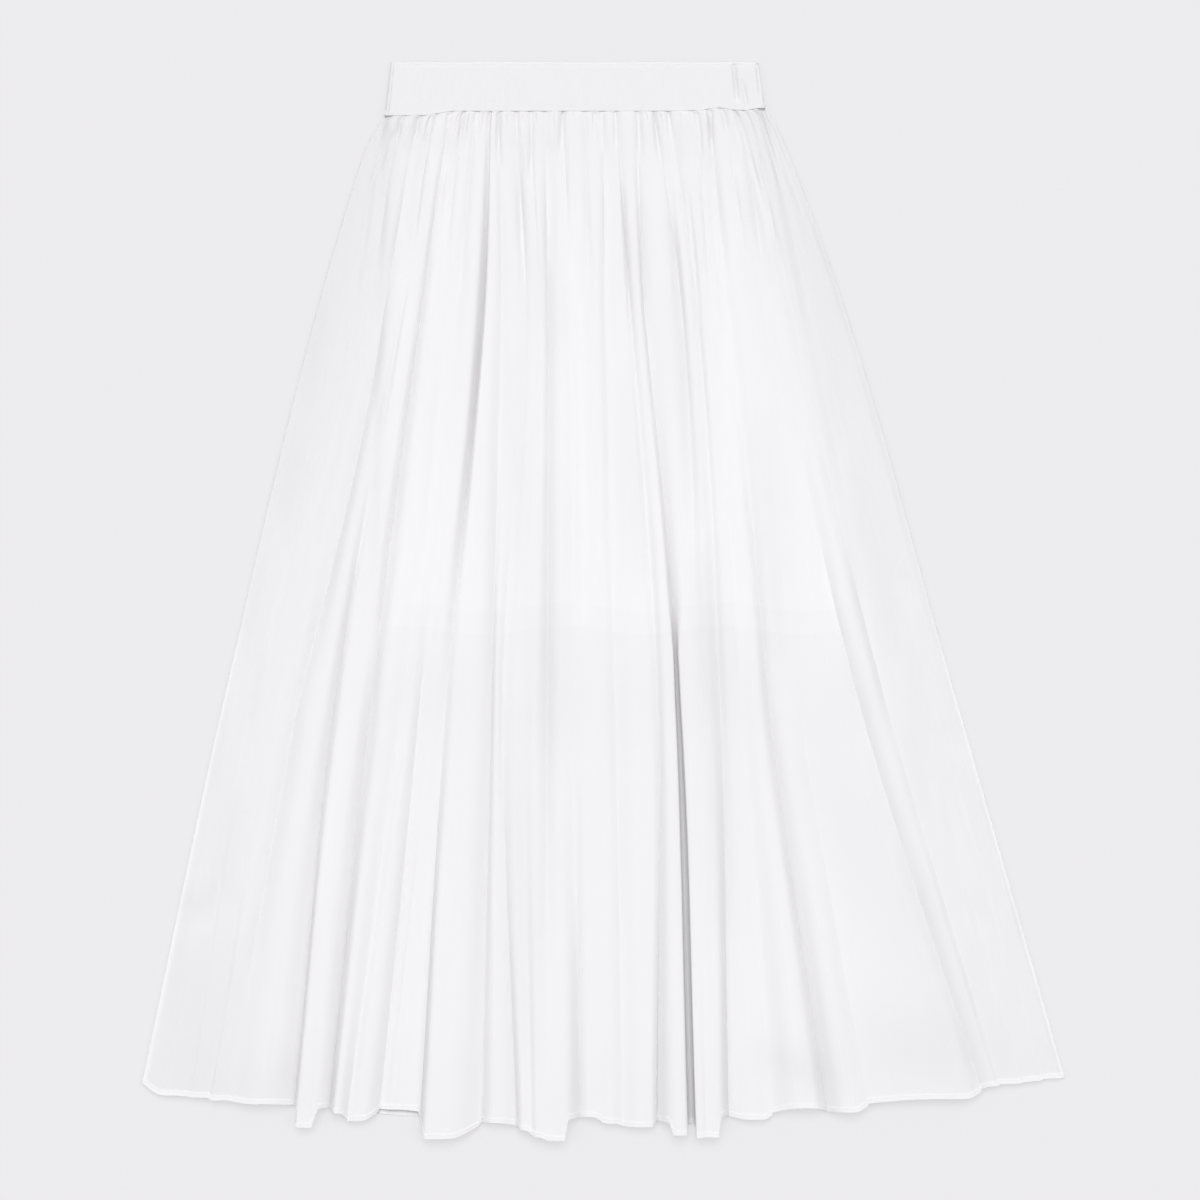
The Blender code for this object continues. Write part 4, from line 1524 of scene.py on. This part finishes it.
@dataclass(frozen=True)
class Studio:
    """A plain pale table, soft light from above and a camera that looks straight down, in metres.

    view_width, view_centre: what the camera sees of the table.
    floor_drop: how far the table lies below the skirt, in millimetres.
    floor_colour, floor_light, floor_glow: its colour, and the even light that it gives.
    dome: strength of the light from all round.
    lamps: name, strength, tilt and lean of each soft lamp; lamp_spread: its width in degrees.
    """

    view_width: float = 0.984
    view_centre: tuple[float, float] = (-0.0029, -0.0002)
    camera_height: float = 3.2
    sensor: float = 36.0
    floor_size: float = 30.0
    floor_drop: float = 0.3
    floor_roughness: float = 0.9
    floor_colour: str = "#7F7E80"
    floor_light: str = "#C6C5C8"
    floor_glow: float = 1.0
    dome: float = 0.34
    dome_colour: str = "#FFFFFF"
    lamps: tuple[tuple[str, float, float, float], ...] = (
        ("far_softbox", 2.26, -26.0, 0.0),
        ("left_softbox", 0.72, 0.0, -42.0),
        ("right_softbox", 0.72, 0.0, 42.0),
    )
    lamp_spread: float = 40.0

    def floor(self) -> None:
        """Lay the table under the skirt."""
        bm = bmesh.new()
        bmesh.ops.create_grid(bm, x_segments=1, y_segments=1, size=0.5 * self.floor_size)
        bmesh.ops.translate(bm, verts=bm.verts, vec=(0.0, 0.0, -self.floor_drop * MM))
        floor = add_object("table", bm)
        # Matt painted board, as plain as a studio's ground
        material = bpy.data.materials.new("matt_pale_table")
        material.use_nodes = True
        shader = material.node_tree.nodes["Principled BSDF"]
        shader.inputs["Base Color"].default_value = to_linear(self.floor_colour)
        shader.inputs["Roughness"].default_value = self.floor_roughness
        shader.inputs["Specular IOR Level"].default_value = 0.0
        shader.inputs["Emission Color"].default_value = to_linear(self.floor_light)
        shader.inputs["Emission Strength"].default_value = self.floor_glow
        floor.data.materials.append(material)

    def light(self) -> None:
        """Light the table evenly from a dome and a wide soft source overhead."""
        world = bpy.data.worlds.new("studio")
        world.use_nodes = True
        background = world.node_tree.nodes["Background"]
        background.inputs["Color"].default_value = to_linear(self.dome_colour)
        background.inputs["Strength"].default_value = self.dome
        bpy.context.scene.world = world
        for name, energy, tilt, lean in self.lamps:
            lamp = bpy.data.lights.new(name, "SUN")
            lamp.energy = energy
            lamp.angle = math.radians(self.lamp_spread)
            softbox = bpy.data.objects.new(name, lamp)
            softbox.rotation_euler = (math.radians(tilt), math.radians(lean), 0.0)
            bpy.context.collection.objects.link(softbox)

    def camera(self) -> None:
        """Stand the camera straight above the skirt."""
        lens = bpy.data.cameras.new("camera")
        lens.sensor_width = self.sensor
        lens.lens = self.sensor * self.camera_height / self.view_width
        camera = bpy.data.objects.new("camera", lens)
        camera.location = (*self.view_centre, self.camera_height)
        bpy.context.collection.objects.link(camera)
        bpy.context.scene.camera = camera
        bpy.context.scene.view_settings.view_transform = "Standard"


def main() -> None:
    """Build the skirt's pieces, then the studio round them."""
    logging.basicConfig(level=logging.INFO, format="%(name)s: %(message)s")
    form = SkirtForm()
    band_low, band_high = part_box("waistband")
    band_x = 0.5 * (band_low.x + band_high.x)
    place = Vector((band_x - form.band_middle * MM, band_low.y - form.gap * MM, 0.0))
    sides = [(a, (b - a) / form.front_lining_length) for a, b in zip(form.lining_waist, form.lining_hem)]

    # Fine plain-woven cotton: matt and slightly translucent, so that the slip shows through
    # The panels' layers attribute also carries painted shade and painted highlight into this colour
    poplin = PoplinFinish(
        "white_cotton_poplin", colour="#CECDCF", second_colour="#DBDADC", yarn_colour="#CBCACC",
        roughness=0.85, sheen=0.0, thread=0.5, relief=0.04, slub=(0.9, 26.0),
        slip_hems=(place.y - form.front_lining_length * MM, place.y - form.back_lining_length * MM),
        slip_sides=tuple((place.x + a * MM + slope * place.y, -slope) for a, slope in sides),
    ).material()
    # Thin woven polyester: a little glossier than the cotton
    lining = ClothFinish(
        "white_polyester_lining", colour="#D6D5D7", second_colour="#DAD9DB", yarn_colour="#D3D2D4",
        roughness=0.5, sheen=0.05, thread=0.4, relief=0.03, slub=(0.8, 30.0),
    ).material()
    # Knitted elastic: matt, with ribs that run round the waist
    elastic = ClothFinish(
        "white_knitted_elastic", colour="#D3D2D4", second_colour="#D8D7D9", yarn_colour="#CECDCF",
        roughness=0.8, sheen=0.0, thread=1.3, relief=0.10, slub=(2.2, 5.0),
    ).material()
    # Polyester sewing thread: a smooth round yarn with a soft gleam
    thread = ClothFinish(
        "white_sewing_thread", colour="#DAD9DB", second_colour="#DAD9DB", yarn_colour="#D6D5D7",
        roughness=0.45, sheen=0.0, thread=0.2, relief=0.01, slub=(0.4, 2.0),
    ).material()

    front = FrontPanel(form, Rows(middle_count=68))
    back = BackPanel(form, Rows(middle_count=34, waist_count=16))
    under_slip = form.cloth + form.gap
    slips = [
        SlipPanel(form, "slip_back", "back_lining", form.back_lining_length,
                  base=under_slip, under_band=3.5, seed=61),
        SlipPanel(form, "slip_front", "front_lining", form.front_lining_length,
                  base=under_slip + form.lining + form.gap, under_band=4.3, seed=67),
    ]
    front_form = front.surface()
    front_piece = build_sheet("skirt_front", front_form, place, front.wall[1], poplin, "cloth", "front_panel")
    back_piece = build_sheet("skirt_back", back.surface(), place, back.wall[1], poplin, "cloth", "back_panel",
                             above=True)
    slip_back, slip_front = [
        build_sheet(panel.name, panel.surface(), place, panel.wall, lining, "lining", panel.node)
        for panel in slips]
    loop = Waistband(form)
    band = build_sheet("elastic_band", loop.surface(), place + Vector((0.0, form.gap * MM, 0.0)), loop.wall,
                       elastic, "elastic", "waistband", above=True, closed=True)
    front_hem = HemStitches("front_hem_stitches")
    front_stitches = front_hem.build(front_hem.path(front_form, place), thread)

    studio = Studio()
    studio.floor()
    studio.light()
    studio.camera()


if __name__ == "__main__":
    main()
